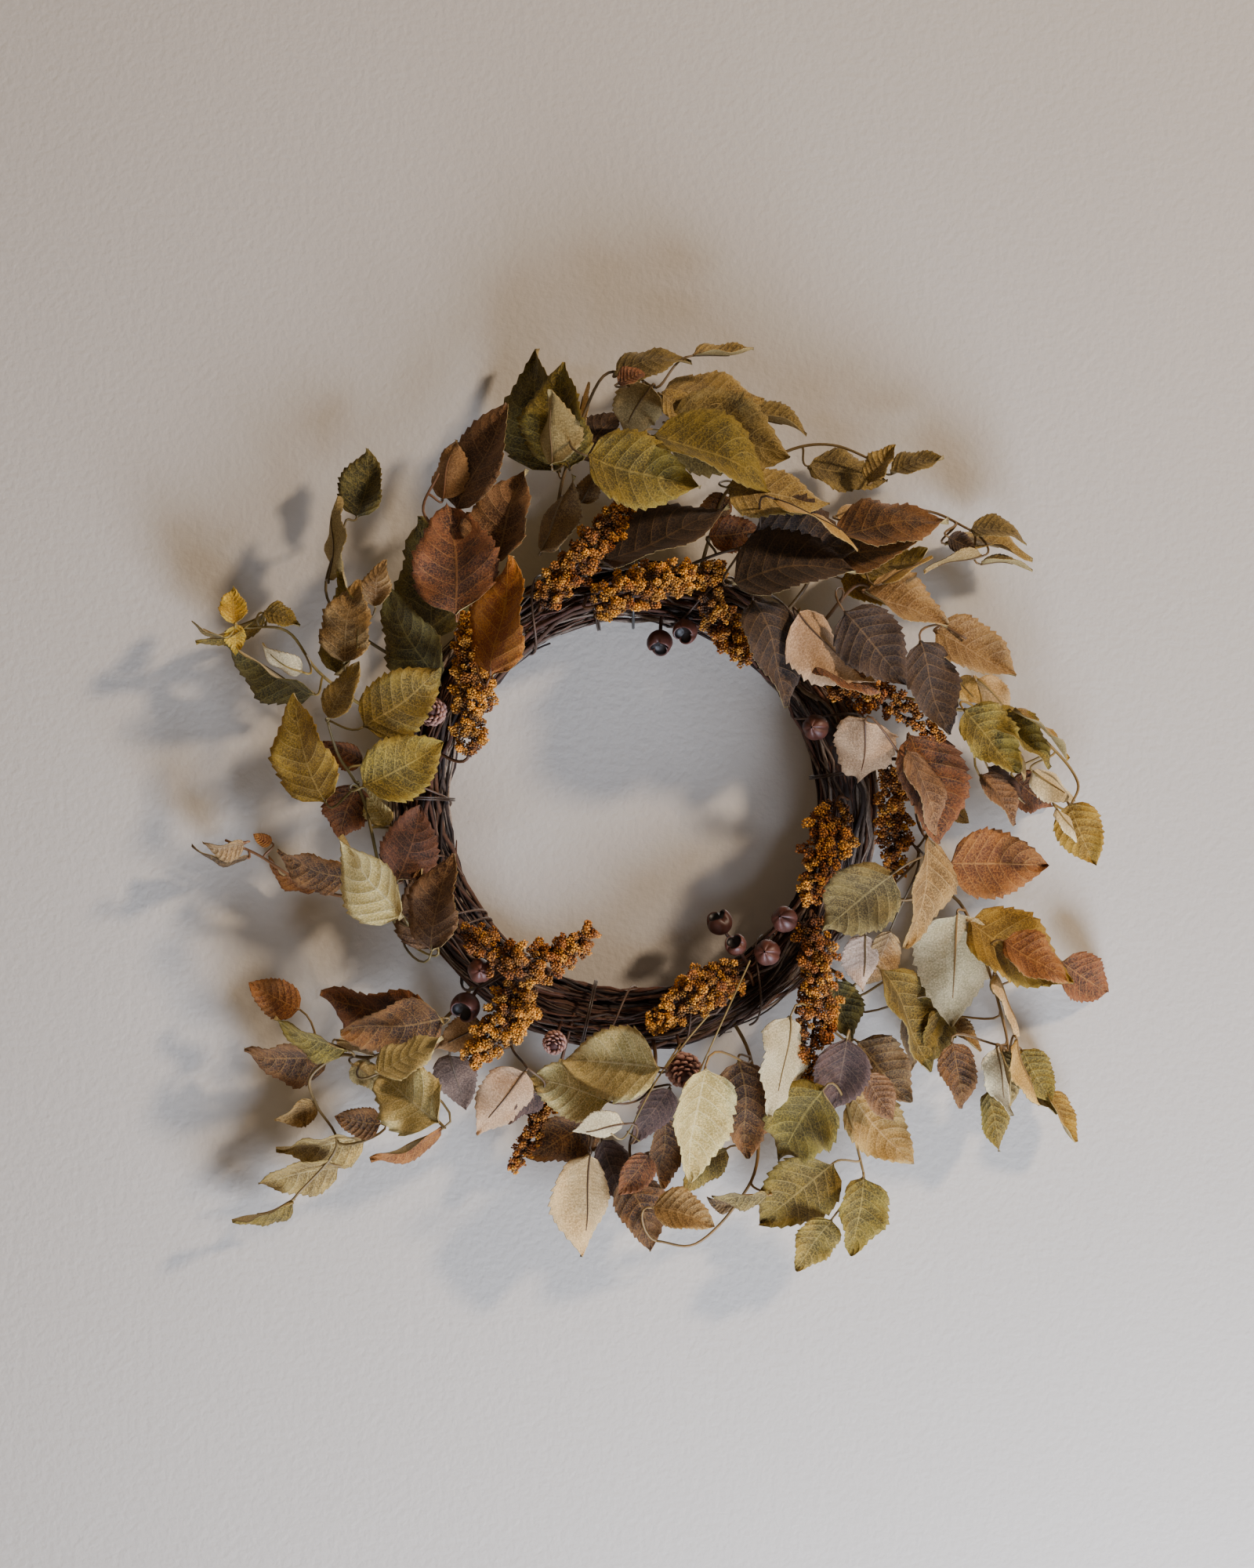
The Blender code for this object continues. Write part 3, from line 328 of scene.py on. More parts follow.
class Mesh:
    """A piece in the making: points, faces and what each point is coloured and mapped with."""

    def __init__(self):
        self.points = []
        self.faces = []
        self.layers = {}
        self.count = 0

    def add(self, points, faces, tone, **layers):
        """Add a shell; a layer holds one colour or one for each point, or a map of pairs."""
        self.points.append(np.asarray(points))
        self.faces += [tuple(i + self.count for i in face) for face in faces]
        self.count += len(points)
        for key, value in {"tone": tone, **layers}.items():
            value = np.atleast_2d(value)
            if value.shape[1] > 2:
                colours = np.ones((len(points), 4))
                colours[:, :value.shape[1]] = value
                value = colours
            self.layers.setdefault(key, []).append(value)

    def tube(self, line, radii, sides, tone, closed=False):
        """A round tube along a line, with domed ends."""
        line = np.asarray(line)
        count = len(line)
        radii = np.broadcast_to(np.asarray(radii, dtype=float), (count,)).copy()
        if closed:
            ahead = np.roll(line, -1, 0) - np.roll(line, 1, 0)
        else:
            ahead = np.gradient(line, axis=0)
        turn = 2 * np.pi * np.arange(sides) / sides
        side = unit(np.cross(ahead[0], (0.31, 0.9, 0.22)))
        rings = []
        for i in range(count):
            forward = unit(ahead[i])
            side = unit(side - forward * side.dot(forward))
            up = np.cross(forward, side)
            ring = np.outer(np.cos(turn), side) + np.outer(np.sin(turn), up)
            rings.append(line[i] + radii[i] * ring)
        points = np.concatenate(rings)
        faces = []
        for i in range(count if closed else count - 1):
            faces += band(i * sides, ((i + 1) % count) * sides, sides)
        if not closed:
            caps = (line[0] - unit(ahead[0]) * radii[0] * 0.5,
                    line[-1] + unit(ahead[-1]) * radii[-1] * 0.5)
            points = np.concatenate([points, caps])
            tip = count * sides
            faces += fan(tip, 0, sides, False) + fan(tip + 1, tip - sides, sides)
        self.add(points, faces, tone)

    def make(self, name, material, *nodes, body="wreath"):
        """Make the object with the given material, riding its body, in place of its CAD nodes."""
        mesh = bpy.data.meshes.new(name)
        points = np.concatenate(self.points)
        mesh.from_pydata(points.tolist(), [], self.faces)
        corners = np.empty(len(mesh.loops), dtype=np.int64)
        mesh.loops.foreach_get("vertex_index", corners)
        for key, values in self.layers.items():
            values = np.concatenate(values)
            if values.shape[1] == 4:
                layer = mesh.attributes.new(key, "FLOAT_COLOR", "POINT")
                layer.data.foreach_set("color", values.ravel())
            else:
                layer = mesh.uv_layers.new(name=key)
                layer.data.foreach_set("uv", values[corners].ravel())
        mesh.shade_smooth()
        mesh.materials.append(material)
        piece = bpy.data.objects.new(name, mesh)
        bpy.context.scene.collection.objects.link(piece)
        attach(piece, body)
        if nodes:
            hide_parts(*nodes)


def settings():
    return bpy.context.scene.wreath


# ---------------------------------------------------------------- materials
def new_material(name, **principled):
    """A material with its Principled shader's own settings; returns both."""
    material = bpy.data.materials.new(name)
    material.use_nodes = True
    shader = material.node_tree.nodes["Principled BSDF"]
    for key, value in principled.items():
        shader.inputs[key.replace("_", " ")].default_value = value
    return material, shader


def add(tree, kind, inputs=(), **values):
    """Add a node with its settings; inputs pairs a socket with a value or another's output."""
    node = tree.nodes.new("ShaderNode" + kind)
    for key, value in values.items():
        setattr(node, key, value)
    for socket, value in dict(inputs).items():
        if isinstance(value, bpy.types.NodeSocket):
            tree.links.new(value, node.inputs[socket])
        else:
            node.inputs[socket].default_value = value
    return node


def maths(tree, operation, *values, clamp=False):
    """The result of a Math node."""
    return add(tree, "Math", enumerate(values), operation=operation, use_clamp=clamp).outputs[0]


def ramp(tree, value, low, high, start, end, kind="LINEAR"):
    """A value between two levels, mapped onto the range from start to end."""
    return add(tree, "MapRange", enumerate((value, low, high, start, end)),
               interpolation_type=kind).outputs[0]


def scaled(tree, colour, factor):
    """A colour made lighter or darker."""
    return add(tree, "VectorMath", {0: colour, "Scale": factor}, operation="SCALE").outputs[0]


def bumped(tree, shader, height, strength, distance):
    """Let a height roughen the shader's surface."""
    bump = add(tree, "Bump", {"Height": height, "Strength": strength, "Distance": distance})
    tree.links.new(bump.outputs[0], shader.inputs["Normal"])


def leaf_cloth(vein_pairs):
    """Woven polyester cloth, printed and hot-pressed: a matt face with a thread grain, mottled
    print that is lighter to the margin, and pressed veins that catch the light."""
    material, shader = new_material("printed woven polyester", Roughness=0.8, IOR=1.5,
                                    Sheen_Weight=0.03, Sheen_Roughness=0.6)
    tree = material.node_tree
    field_tone = add(tree, "Attribute", attribute_name="tone")
    tone, pressed = field_tone.outputs["Color"], field_tone.outputs["Alpha"]
    margin_tone = add(tree, "Attribute", attribute_name="margin_tone").outputs["Color"]
    vein_tone = add(tree, "Attribute", attribute_name="vein_tone").outputs["Color"]
    veins = add(tree, "SeparateXYZ", {0: add(tree, "UVMap", uv_map="veins").outputs[0]})
    cloth = add(tree, "UVMap", uv_map="cloth").outputs[0]
    across = maths(tree, "ABSOLUTE", veins.outputs["X"])
    # A side vein runs forward by a fifth of the leaf's length on its way to the margin
    start = maths(tree, "MULTIPLY_ADD", maths(tree, "POWER", across, 1.35), -0.2,
                  veins.outputs["Y"])
    off_vein = maths(tree, "PINGPONG", maths(tree, "MULTIPLY", start, float(vein_pairs)), 0.5)
    side_vein = ramp(tree, off_vein, 0.012, 0.06, 1.0, 0.0, "SMOOTHSTEP")
    side_vein = maths(tree, "MULTIPLY", side_vein, ramp(tree, across, 0.7, 1.0, 1.0, 0.15))
    mid_vein = ramp(tree, across, 0.012, 0.045, 1.0, 0.0, "SMOOTHSTEP")
    vein = maths(tree, "MULTIPLY", maths(tree, "MAXIMUM", side_vein, mid_vein), pressed)
    # Net of finer veins, meshes about 2.5 mm across
    net = add(tree, "TexVoronoi", {"Vector": cloth, "Scale": 0.4, "Randomness": 0.9},
              feature="DISTANCE_TO_EDGE").outputs["Distance"]
    net = ramp(tree, net, 0.02, 0.08, 1.0, 0.0)
    # Cloud of the print, about 12 mm; speckle of the thread, about 1 mm
    cloud = add(tree, "TexNoise", {"Vector": cloth, "Scale": 0.085, "Detail": 4.0,
                                   "Roughness": 0.6}).outputs["Fac"]
    speckle = add(tree, "TexNoise", {"Vector": cloth, "Scale": 0.9, "Detail": 2.0}).outputs["Fac"]
    mottle = maths(tree, "ADD", ramp(tree, cloud, 0.38, 0.62, -0.05, 0.85),
                   ramp(tree, across, 0.3, 1.0, -0.22, 0.5))
    mottle = maths(tree, "ADD", mottle, ramp(tree, speckle, 0.5, 0.6, -0.15, 0.6))
    mottle = maths(tree, "ADD", mottle, ramp(tree, veins.outputs["Y"], 0.4, 1.0, -0.1, 0.4),
                   clamp=True)
    field = add(tree, "Mix", {0: mottle, 6: tone, 7: margin_tone}, data_type="RGBA").outputs[2]
    printed = scaled(tree, field, ramp(tree, speckle, 0.3, 0.7, 0.72, 1.18))
    strength = maths(tree, "MULTIPLY_ADD", vein, 0.42, maths(tree, "MULTIPLY", net, 0.26),
                     clamp=True)
    colour = add(tree, "Mix", {0: strength, 6: printed, 7: vein_tone}, data_type="RGBA")
    tree.links.new(colour.outputs[2], shader.inputs["Base Color"])
    # Threads are drawn 0.6 mm apart, coarser than the real 0.3 mm, so that they show
    warp, weft = (add(tree, "TexWave", {"Vector": cloth, "Scale": 0.5},
                      bands_direction=way).outputs["Fac"] for way in "XY")
    relief = maths(tree, "MULTIPLY_ADD", vein, -1.6, maths(tree, "ADD", warp, weft))
    # The cloth swells between its pressed veins
    swell = ramp(tree, off_vein, 0.0, 0.4, 0.0, 4.5, "SMOOTHSTEP")
    relief = maths(tree, "MULTIPLY_ADD", swell, pressed, relief)
    relief = maths(tree, "MULTIPLY_ADD", cloud, 6.0, relief)
    bumped(tree, shader, relief, 0.6, 0.0003)
    return material


def toned(name, grain_mm, spread, depth_mm, **principled):
    """A material in the piece's own tones, with a grain that shades and roughens it."""
    if name in bpy.data.materials:
        return bpy.data.materials[name]
    material, shader = new_material(name, **principled)
    tree = material.node_tree
    tone = add(tree, "Attribute", attribute_name="tone").outputs["Color"]
    where = add(tree, "TexCoord").outputs["Object"]
    grain = add(tree, "TexNoise", {"Vector": where, "Scale": 1.0 / (grain_mm * MM),
                                   "Detail": 4.0, "Roughness": 0.65}).outputs["Fac"]
    colour = scaled(tree, tone, ramp(tree, grain, 0.3, 0.7, 1.0 - spread, 1.0 + spread))
    tree.links.new(colour, shader.inputs["Base Color"])
    dull = principled["Roughness"]
    tree.links.new(ramp(tree, grain, 0.3, 0.7, dull - 0.08, dull + 0.08),
                   shader.inputs["Roughness"])
    bumped(tree, shader, grain, 0.5, depth_mm * MM)
    return material


def seed_foam():
    """Painted polystyrene granules: matt beads, with painted shade in the tones of the beads deep
    in a cluster.
    """
    return toned("painted polystyrene granules", 1.2, 0.22, 0.15, Roughness=0.72, IOR=1.55)


def stem_plastic():
    """Moulded polyethylene over wire: a soft sheen with faint mould grain."""
    return toned("moulded polyethylene over wire", 3.0, 0.16, 0.12, Roughness=0.5, IOR=1.5)


def twig_bark():
    """Dried vine bark: dull, streaked, and rough to the touch."""
    return toned("dried vine bark", 2.0, 0.4, 0.5, Roughness=0.8, IOR=1.45)


def pod_lacquer():
    """Lacquered moulded pods: smooth with a low gloss and a darker blush."""
    return toned("lacquered moulded pod", 5.0, 0.25, 0.25, Roughness=0.5, IOR=1.5)


def cone_scale():
    """Dried cone scales: matt wood with pale rubbed tips."""
    return toned("dried cone scales", 2.5, 0.22, 0.25, Roughness=0.7, IOR=1.5)


def enamelled_wire():
    """Florist's wire in baked enamel: thin, dark, with a satin gloss."""
    return toned("enamelled florist's wire", 1.5, 0.1, 0.05, Roughness=0.38, IOR=1.5)


# ---------------------------------------------------------------- leaf sprays
def leaf_outline(teeth):
    """A leaf's rows: place along it, half width, and how far the margin's teeth reach."""
    rows = [(0.0, 0.0, 0.0), (0.025, 0.10, 0.0)]
    for k in range(teeth):
        notch = 0.06 + 0.93 * (k + 0.05) / teeth
        point = 0.06 + 0.93 * (k + 0.72) / teeth
        for at, cut in ((notch, -0.03), (point, 0.045)):
            wide = (at / 0.36) ** 0.58 * ((1.0 - at) / 0.64) ** 1.03
            rows.append((at, max(0.02, wide), cut * min(1.0, 2.2 * wide)))
    rows.append((1.0, 0.0, 0.0))
    return rows


LEAF_COLUMNS = (-1.0, -0.8, -0.52, -0.24, 0.0, 0.24, 0.52, 0.8, 1.0)


class Leaf:
    """One leaf: its place and axes, found from its row in the layout and from its CAD blade."""

    def __init__(self, row, points, number):
        bx, bz, tx, tz, seen, self.tone = row
        self.printed = self.tone in PRINTED_TONES
        heading = np.array((tx - bx, 0.0, tz - bz)) * MM
        span = np.linalg.norm(heading)
        heading = heading / span
        self.length = max(span, seen * MM * LEAF_ASPECT)
        self.width = self.length / LEAF_ASPECT
        lean = math.acos(min(1.0, span / self.length))
        roll = math.acos(min(1.0, seen * MM / self.width))
        self.along = heading * math.cos(lean) + np.array((0.0, math.sin(lean), 0.0))
        across = unit(np.cross(self.along, (0.0, 1.0, 0.0)))
        normal = unit(np.cross(across, self.along))
        self.across = across * math.cos(roll) + normal * math.sin(roll)
        normal = unit(np.cross(self.across, self.along))
        self.face = normal if normal[1] < 0.0 else -normal
        tip = place(tx, tz, depth_at(points, tx, tz, 0.9))
        self.base = tip - self.along * self.length
        dice = random.Random(number)
        slim = 1.0 - abs(math.sin(roll))
        facing = 1.0 if self.printed else -1.0
        self.folds = (facing * dice.uniform(-0.1, 0.65), facing * dice.uniform(-0.1, 0.65))
        self.arch = dice.uniform(0.02, 0.08) * (1.0 if dice.random() < 0.75 else -0.6)
        self.curl = dice.uniform(-1.1, 0.8) * min(1.0, 35 * MM / self.length)
        self.ripple = dice.uniform(0.045, 0.11) * (0.4 + 0.6 * slim)
        self.dent = dice.uniform(0.015, 0.045)
        self.waves = dice.uniform(1.2, 2.6)
        self.phase = dice.uniform(0.0, FULL_TURN)
        self.twist = math.radians(dice.uniform(-16.0, 16.0))
        self.sway = dice.uniform(-0.05, 0.05)
        self.shift = np.array((dice.uniform(0, 900), dice.uniform(0, 900)))
        self.shade = dice.uniform(0.9, 1.1)

    def at(self, u, v, wide, tooth=0.0, lift=0.0):
        """A point of the leaf: u across from -1 to 1, v along, wide the row's half width."""
        half = wide * self.width / 2.0
        if abs(u) == 1.0:
            half += tooth * (1.0 + 0.6 * math.sin(29.0 * v + 5.0 * u + self.phase)) * half
            v += max(0.0, tooth) * 0.35
        rise = (abs(u) * half * self.folds[u > 0]
                + self.arch * self.length * math.sin(math.pi * v)
                + self.curl * self.length * max(0.0, v - 0.55) ** 2
                + self.ripple * self.width * u * u
                * math.sin(FULL_TURN * self.waves * v + self.phase * (1 if u > 0 else 1.7))
                + self.dent * self.width * math.sin(7.0 * v + 3.0 * u + self.phase))
        angle = self.twist * (v - 0.35)
        sideways = self.across * math.cos(angle) + self.face * math.sin(angle)
        bow = self.sway * self.length * math.sin(math.pi * v)
        return (self.base + self.along * (v * self.length) + sideways * (u * half)
                + self.across * bow + self.face * (rise + lift))

    def build(self, cloth, wire, stem_tone, thickness, teeth):
        """The cloth as a thin closed shell, and the moulded rib on its back."""
        rows = leaf_outline(teeth)
        layers, marks, metres = [], [], []
        for lift in (0.5 * thickness, -0.5 * thickness):
            for v, wide, tooth in rows:
                for u in LEAF_COLUMNS:
                    layers.append(self.at(u, v, wide, tooth, lift))
                    marks.append((u, v))
                    metres.append((u * wide * self.width / 2.0 / MM + self.shift[0],
                                   v * self.length / MM + self.shift[1]))
        columns, size = len(LEAF_COLUMNS), len(rows) * len(LEAF_COLUMNS)
        faces = []
        for r in range(len(rows) - 1):
            for c in range(columns - 1):
                a, b = r * columns + c, (r + 1) * columns + c
                faces.append((a, a + 1, b + 1, b))
                faces.append((size + a, size + b, size + b + 1, size + a + 1))
            for c in (0, columns - 1):
                a, b = r * columns + c, (r + 1) * columns + c
                rim = (a, b, size + b, size + a)
                faces.append(rim if c == 0 else rim[::-1])
        for r in (0, len(rows) - 1):
            for c in range(columns - 1):
                a = r * columns + c
                rim = (a, size + a, size + a + 1, a + 1)
                faces.append(rim if r == 0 else rim[::-1])
        # Alpha is how deep the veins are pressed into each side
        if self.printed:
            sides = (PRINTED_TONES[self.tone], 1.0), (FAR_BACK, 0.25)
        else:
            sides = (BACK_TONES[self.tone], 0.25), (FAR_PRINT, 1.0)
        colours = [np.concatenate([
            np.tile((*(np.array(linear(codes.split()[k])) * self.shade), press), (size, 1))
            for codes, press in sides]) for k in range(3)]
        cloth.add(layers, faces, colours[0], margin_tone=colours[1], vein_tone=colours[2],
                  veins=marks, cloth=metres)
        # The rib stands on the back of the cloth and thins out before the tip
        outside = thickness / 2.0 + 0.25 * MM
        lift = -outside if self.printed else outside
        steps = np.linspace(0.0, 0.6 if self.printed else 0.74, 12)
        rib = [self.at(0.0, v, 0.0, lift=lift) for v in steps]
        wire.tube(rib, np.linspace(0.75, 0.3, len(rib)) * MM, 6, stem_tone)
        return rib[0]


def build_spray(name, plan, stem_colour, leaves, order, cloth_material, wire_material):
    """One spray: its wired stem, the stalks and ribs, and its cloth leaves."""
    points = node_points(name)
    cloth, wire = Mesh(), Mesh()
    tone = np.array(linear(stem_colour))
    marks = [place(x, z, depth_at(points, x, z, 2.0)) for x, z in plan]
    root = toward(marks[0], RING_RADIUS + 0.4 * BUNDLE_RADIUS)
    line = smooth_line([root] + marks, 7)
    wire.tube(line, np.linspace(1.35, 0.85, len(line)) * MM, 8, tone)
    ahead = np.gradient(line, axis=0)
    for number, row in enumerate(leaves):
        leaf = Leaf(row, points, order * 100 + number)
        shade = tone * random.Random(order * 100 + number).uniform(0.8, 1.3)
        heel = leaf.build(cloth, wire, shade, settings().cloth_thickness, settings().teeth)
        gap = np.linalg.norm(line[5:] - heel, axis=1)
        start = 5 + int(gap.argmin())
        reach = gap.min()
        stalk = bezier(line[start], line[start] + unit(ahead[start]) * reach * 0.35,
                       heel - leaf.along * reach * 0.45, heel, 10)
        wire.tube(stalk, np.linspace(0.9, 0.75, len(stalk)) * MM, 6, shade)
    cloth.make(name + "_leaves", cloth_material, name)
    wire.make(name + "_stems", wire_material, name)


# ---------------------------------------------------------------- hoop and wires
def hoop_point(clock, minor, radius):
    """A point of the bundle: minor 0 faces outward and a quarter turn faces the room."""
    reach = RING_RADIUS + radius * math.cos(minor)
    return np.array((HOOP.x + reach * math.cos(clock), HOOP.y - radius * math.sin(minor),
                     HOOP.z + reach * math.sin(clock)))


TWIG_TONES = ("33241C", "432D21", "573628", "64402E", "4A3C34", "7E6858", "6A4630", "2E211C",
              "8C7A6A", "50382A")


def build_twigs(material):
    """The bundle: many thin vine twigs, each winding a part of the way round the hoop."""
    dice = random.Random(7)
    twigs = Mesh()
    count = settings().twig_count
    for k in range(count):
        inner = k < count * 0.3
        depth = (0.32 if inner else dice.uniform(0.55, 0.93)) * BUNDLE_RADIUS
        thick = dice.uniform(4.5, 6.5) if inner else dice.choice((0.9, 1.1, 1.4, 1.8, 2.4))
        clock, sweep = dice.uniform(0, FULL_TURN), math.radians(dice.uniform(110, 300))
        minor, turns = dice.uniform(0, FULL_TURN), dice.uniform(-0.35, 1.5)
        steps = int(math.degrees(sweep) / 5)
        kink = [dice.gauss(0, 1) for _ in range(steps + 1)]
        loose = dice.random() < 0.22
        line = []
        for i in range(steps + 1):
            t = i / steps
            ends = max(0.0, t - 0.9, 0.1 - t) * 10.0
            reach = depth + 0.9 * MM * kink[i] + (5.0 * MM * ends * ends if loose else 0.0)
            wander = minor + turns * sweep * t + 0.08 * kink[i - 1] + 0.35 * math.sin(9 * t + k)
            line.append(hoop_point(clock + sweep * t, wander, min(reach, 1.15 * BUNDLE_RADIUS)))
        line = smooth_line(line, 2)
        taper = thick * np.interp(np.linspace(0, 1, len(line)), (0, 0.1, 0.75, 1),
                                  (0.5, 1.0, 0.9, 0.35))
        knots = 1.0 + 0.16 * np.sin(np.arange(len(line)) * 1.9 + k) ** 8
        tone = np.array(linear(dice.choice(TWIG_TONES))) * dice.uniform(0.5, 1.1)
        twigs.tube(line, taper * knots * MM / 1.6, 6, tone)
    canes = [f"vine_cane_{k}" for k in range(1, 8)]
    twigs.make("vine_twigs", material, *canes, "vine_core")


def build_ties(material):
    """Binding wires: two turns round the bundle, ends twisted together on its outside."""
    tone = linear("3A2C22")
    for number, clock in enumerate(TIE_CLOCKS, 1):
        tie = Mesh()
        name = f"binding_wire_{number}"
        low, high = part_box(name)
        middle = hoop_point(math.radians(clock), 0.0, 0.0)
        radius = (high.y - low.y) / 2 - 0.7 * MM
        outward = unit(middle - np.array(HOOP))
        tangent = np.array((-outward[2], 0.0, outward[0]))
        line = []
        for k in range(73):
            turn = 4 * math.pi * k / 72
            line.append(middle + outward * radius * math.cos(turn)
                        + np.array((0.0, -radius * math.sin(turn), 0.0))
                        + tangent * (1.3 * MM * (k / 36 - 1.0)))
        tie.tube(line, 0.6 * MM, 6, tone)
        for side in (0.0, math.pi):
            twist = [middle + outward * (radius + 0.4 * MM + 6.0 * MM * t)
                     + (tangent * math.cos(12 * t + side)
                        + np.array((0.0, math.sin(12 * t + side), 0.0))) * 0.65 * MM
                     for t in np.linspace(0.0, 1.0, 16)]
            tie.tube(twist, 0.55 * MM, 6, tone)
        tie.make(name + "_twist", material, name)


def build_hanging_loop(material):
    """The hanging loop: a ring round the bundle, a twisted neck and the eye for the nail."""
    tone = linear("3B3A38")
    joint = frame["joints"][0]
    axis = np.array(joint["pos_m"])
    low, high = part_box("hanging_loop")
    wire = 1.1 * MM
    radius = axis[2] - low.z - 1.15 * wire
    loop = Mesh()
    loop.tube(circle(axis, radius, (0, 0, 1), (0, 1, 0), 48), wire * 0.9, 10, tone, closed=True)
    eye_radius = (high.x - low.x) / 2 - wire
    eye_middle = np.array((0.0, 0.0, wire - eye_radius))
    lean = unit(eye_middle - axis)
    eye = circle(eye_middle, eye_radius, (0, 0, -1), (1, 0, 0), 36)
    loop.tube(eye, wire * 0.9, 10, tone, closed=True)
    start, end = axis + lean * (radius - 0.3 * wire), eye[0] + np.array((0, 0, -0.1 * wire))
    side = np.array((1.0, 0.0, 0.0))
    third = np.cross(lean, side)
    for half in (0.0, math.pi):
        neck = [start + (end - start) * t + 0.62 * wire
                * (side * math.cos(9 * t + half) + third * math.sin(9 * t + half))
                for t in np.linspace(0.0, 1.0, 24)]
        loop.tube(neck, wire * 0.72, 8, tone)
    loop.make("hanging_loop_wire", material, "hanging_loop", body="hanger")


def build_straws(material):
    """Bare straw stems laid across the front, and fine tendrils round the canes."""
    straws = Mesh()
    tone = np.array(linear("8C7646"))
    for line in STRAWS:
        marks = [place(x, z, HOOP.y - (44 + 5 * i) * MM) for i, (x, z) in enumerate(line)]
        straws.tube(smooth_line(marks, 6), 0.55 * MM, 6, tone)
    dice = random.Random(23)
    dark = np.array(linear("4A3628"))
    for start in TENDRIL_CLOCKS:
        turns, sweep = dice.uniform(1.0, 2.0), math.radians(dice.uniform(24, 40))
        coil = [hoop_point(math.radians(start) + sweep * t, FULL_TURN * turns * t,
                           BUNDLE_RADIUS * (1.03 + 0.05 * math.sin(11 * t)))
                for t in np.linspace(0.0, 1.0, 44)]
        straws.tube(coil, 0.75 * MM, 6, dark * dice.uniform(0.8, 1.5))
    straws.make("straw_stems", material)


# ---------------------------------------------------------------- seeds, pods and cones
def icosphere():
    """Points and faces of a bead with twenty sides."""
    g = (1 + 5 ** 0.5) / 2
    points = [(-1, g, 0), (1, g, 0), (-1, -g, 0), (1, -g, 0), (0, -1, g), (0, 1, g),
              (0, -1, -g), (0, 1, -g), (g, 0, -1), (g, 0, 1), (-g, 0, -1), (-g, 0, 1)]
    faces = [(0, 11, 5), (0, 5, 1), (0, 1, 7), (0, 7, 10), (0, 10, 11), (1, 5, 9), (5, 11, 4),
             (11, 10, 2), (10, 7, 6), (7, 1, 8), (3, 9, 4), (3, 4, 2), (3, 2, 6), (3, 6, 8),
             (3, 8, 9), (4, 9, 5), (2, 4, 11), (6, 2, 10), (8, 6, 7), (9, 8, 1)]
    return np.array(points) / np.linalg.norm(points[0]), faces


def build_sprig(name, plan, half_mm, gold_share, order, material, wire_material):
    """A seed sprig: a stem set with clusters of small granules, like ripe sorghum."""
    dice = random.Random(order)
    points = node_points(name)
    marks = [place(x, z, depth_at(points, x, z, half_mm + 1.0)) for x, z in plan]
    line = smooth_line(marks, 12)
    length = np.linalg.norm(np.diff(line, axis=0), axis=1).sum()
    bead, bead_faces = icosphere()
    # The third colour, dark, is the painted shade given to beads deep in a cluster
    gold, rust, dark = (np.array(c) for c in (settings().seed_gold, settings().seed_rust,
                                              linear("3E200A")))
    seeds = Mesh()
    clusters, last = int(length / (0.5 * MM)), len(line) - 1
    for c in range(clusters):
        t = (c + dice.random()) / clusters
        at = int(t * last)
        here = line[at]
        ahead = unit(line[min(last, at + 2)] - line[max(0, at - 2)])
        swell = math.sin(math.pi * min(1.0, 0.10 + 0.84 * t) ** 0.75) ** 0.6
        out = unit(np.cross(ahead, np.array([dice.gauss(0, 1) for _ in range(3)])))
        if out[1] > 0.35:
            out = out * np.array((1.0, -1.0, 1.0))
        reach = 1.3 * half_mm * MM * swell
        finger = unit(out + ahead * dice.uniform(0.4, 1.1))
        middle = here + finger * reach * dice.uniform(0.2, 1.0) ** 0.6
        long_half = (1.7 + 0.09 * half_mm * swell) * MM * dice.uniform(0.75, 1.3)
        wide_half = long_half * dice.uniform(0.6, 0.8)
        golden = dice.random() < gold_share
        cluster_tone = blended(gold, rust, dice.uniform(0.0, 0.35) if golden
                               else dice.uniform(0.55, 1.0))
        side = unit(np.cross(finger, (0.3, 0.2, 0.9)))
        third = np.cross(finger, side)
        number = int(4 * math.pi * long_half * wide_half / (2.9 * MM * MM))
        for k in range(number):
            h = 1.0 - 2.0 * (k + 0.5) / number
            ring, turn = math.sqrt(1.0 - h * h), GOLDEN_ANGLE * k + c
            radius = dice.uniform(0.62, 1.0) * MM
            spread = dice.uniform(0.8, 1.3)
            centre = (middle + finger * h * long_half * spread
                      + (side * math.cos(turn) + third * math.sin(turn)) * ring * wide_half
                      * spread)
            # Painted shade: the nearer a bead lies to the stem, deep in its cluster, the more its
            # tone is darkened toward dark
            painted_shade_depth = 1.0 - np.linalg.norm(centre - here) / (reach + 0.5 * long_half)
            tone = np.array(blended(cluster_tone, dark, min(0.94, max(0.0, 2.0 * painted_shade_depth - 0.1))))
            seeds.add(centre + bead * radius, bead_faces, tone * dice.uniform(0.3, 1.8))
    seeds.make(name + "_seeds", material, name)
    stem = Mesh()
    root = toward(marks[0]) + np.array((0.0, -0.7 * BUNDLE_RADIUS, 0.0))
    stem.tube(smooth_line([root, marks[0], line[len(line) // 2], line[-1]], 8), 1.1 * MM, 6,
              linear("5A3A22"))
    stem.make(name + "_stem", wire_material, name)


def ball_middle(points, x, z, radius):
    """Where a CAD ball's middle lies along y: where most of its points fit its radius."""
    best = None
    for y in np.arange(points[:, 1].min(), points[:, 1].max(), 0.4 * MM):
        gap = np.linalg.norm(points - place(x, z, y), axis=1)
        fit = int((gap <= 1.04 * radius).sum())
        if best is None or fit > best[0]:
            best = (fit, [y])
        elif fit == best[0]:
            best[1].append(y)
    return place(x, z, float(np.mean(best[1])))


def seat(name, where, radius, lean):
    """A pod's or a cone's place: its pick's foot, its middle and its three axes."""
    middle = ball_middle(node_points(name), *where, radius)
    hub = toward(middle)
    up = unit(middle - hub + np.array(lean) * radius)
    side = unit(np.cross(up, (0.2, 0.1, 0.97)))
    return hub, middle, up, side, np.cross(up, side)


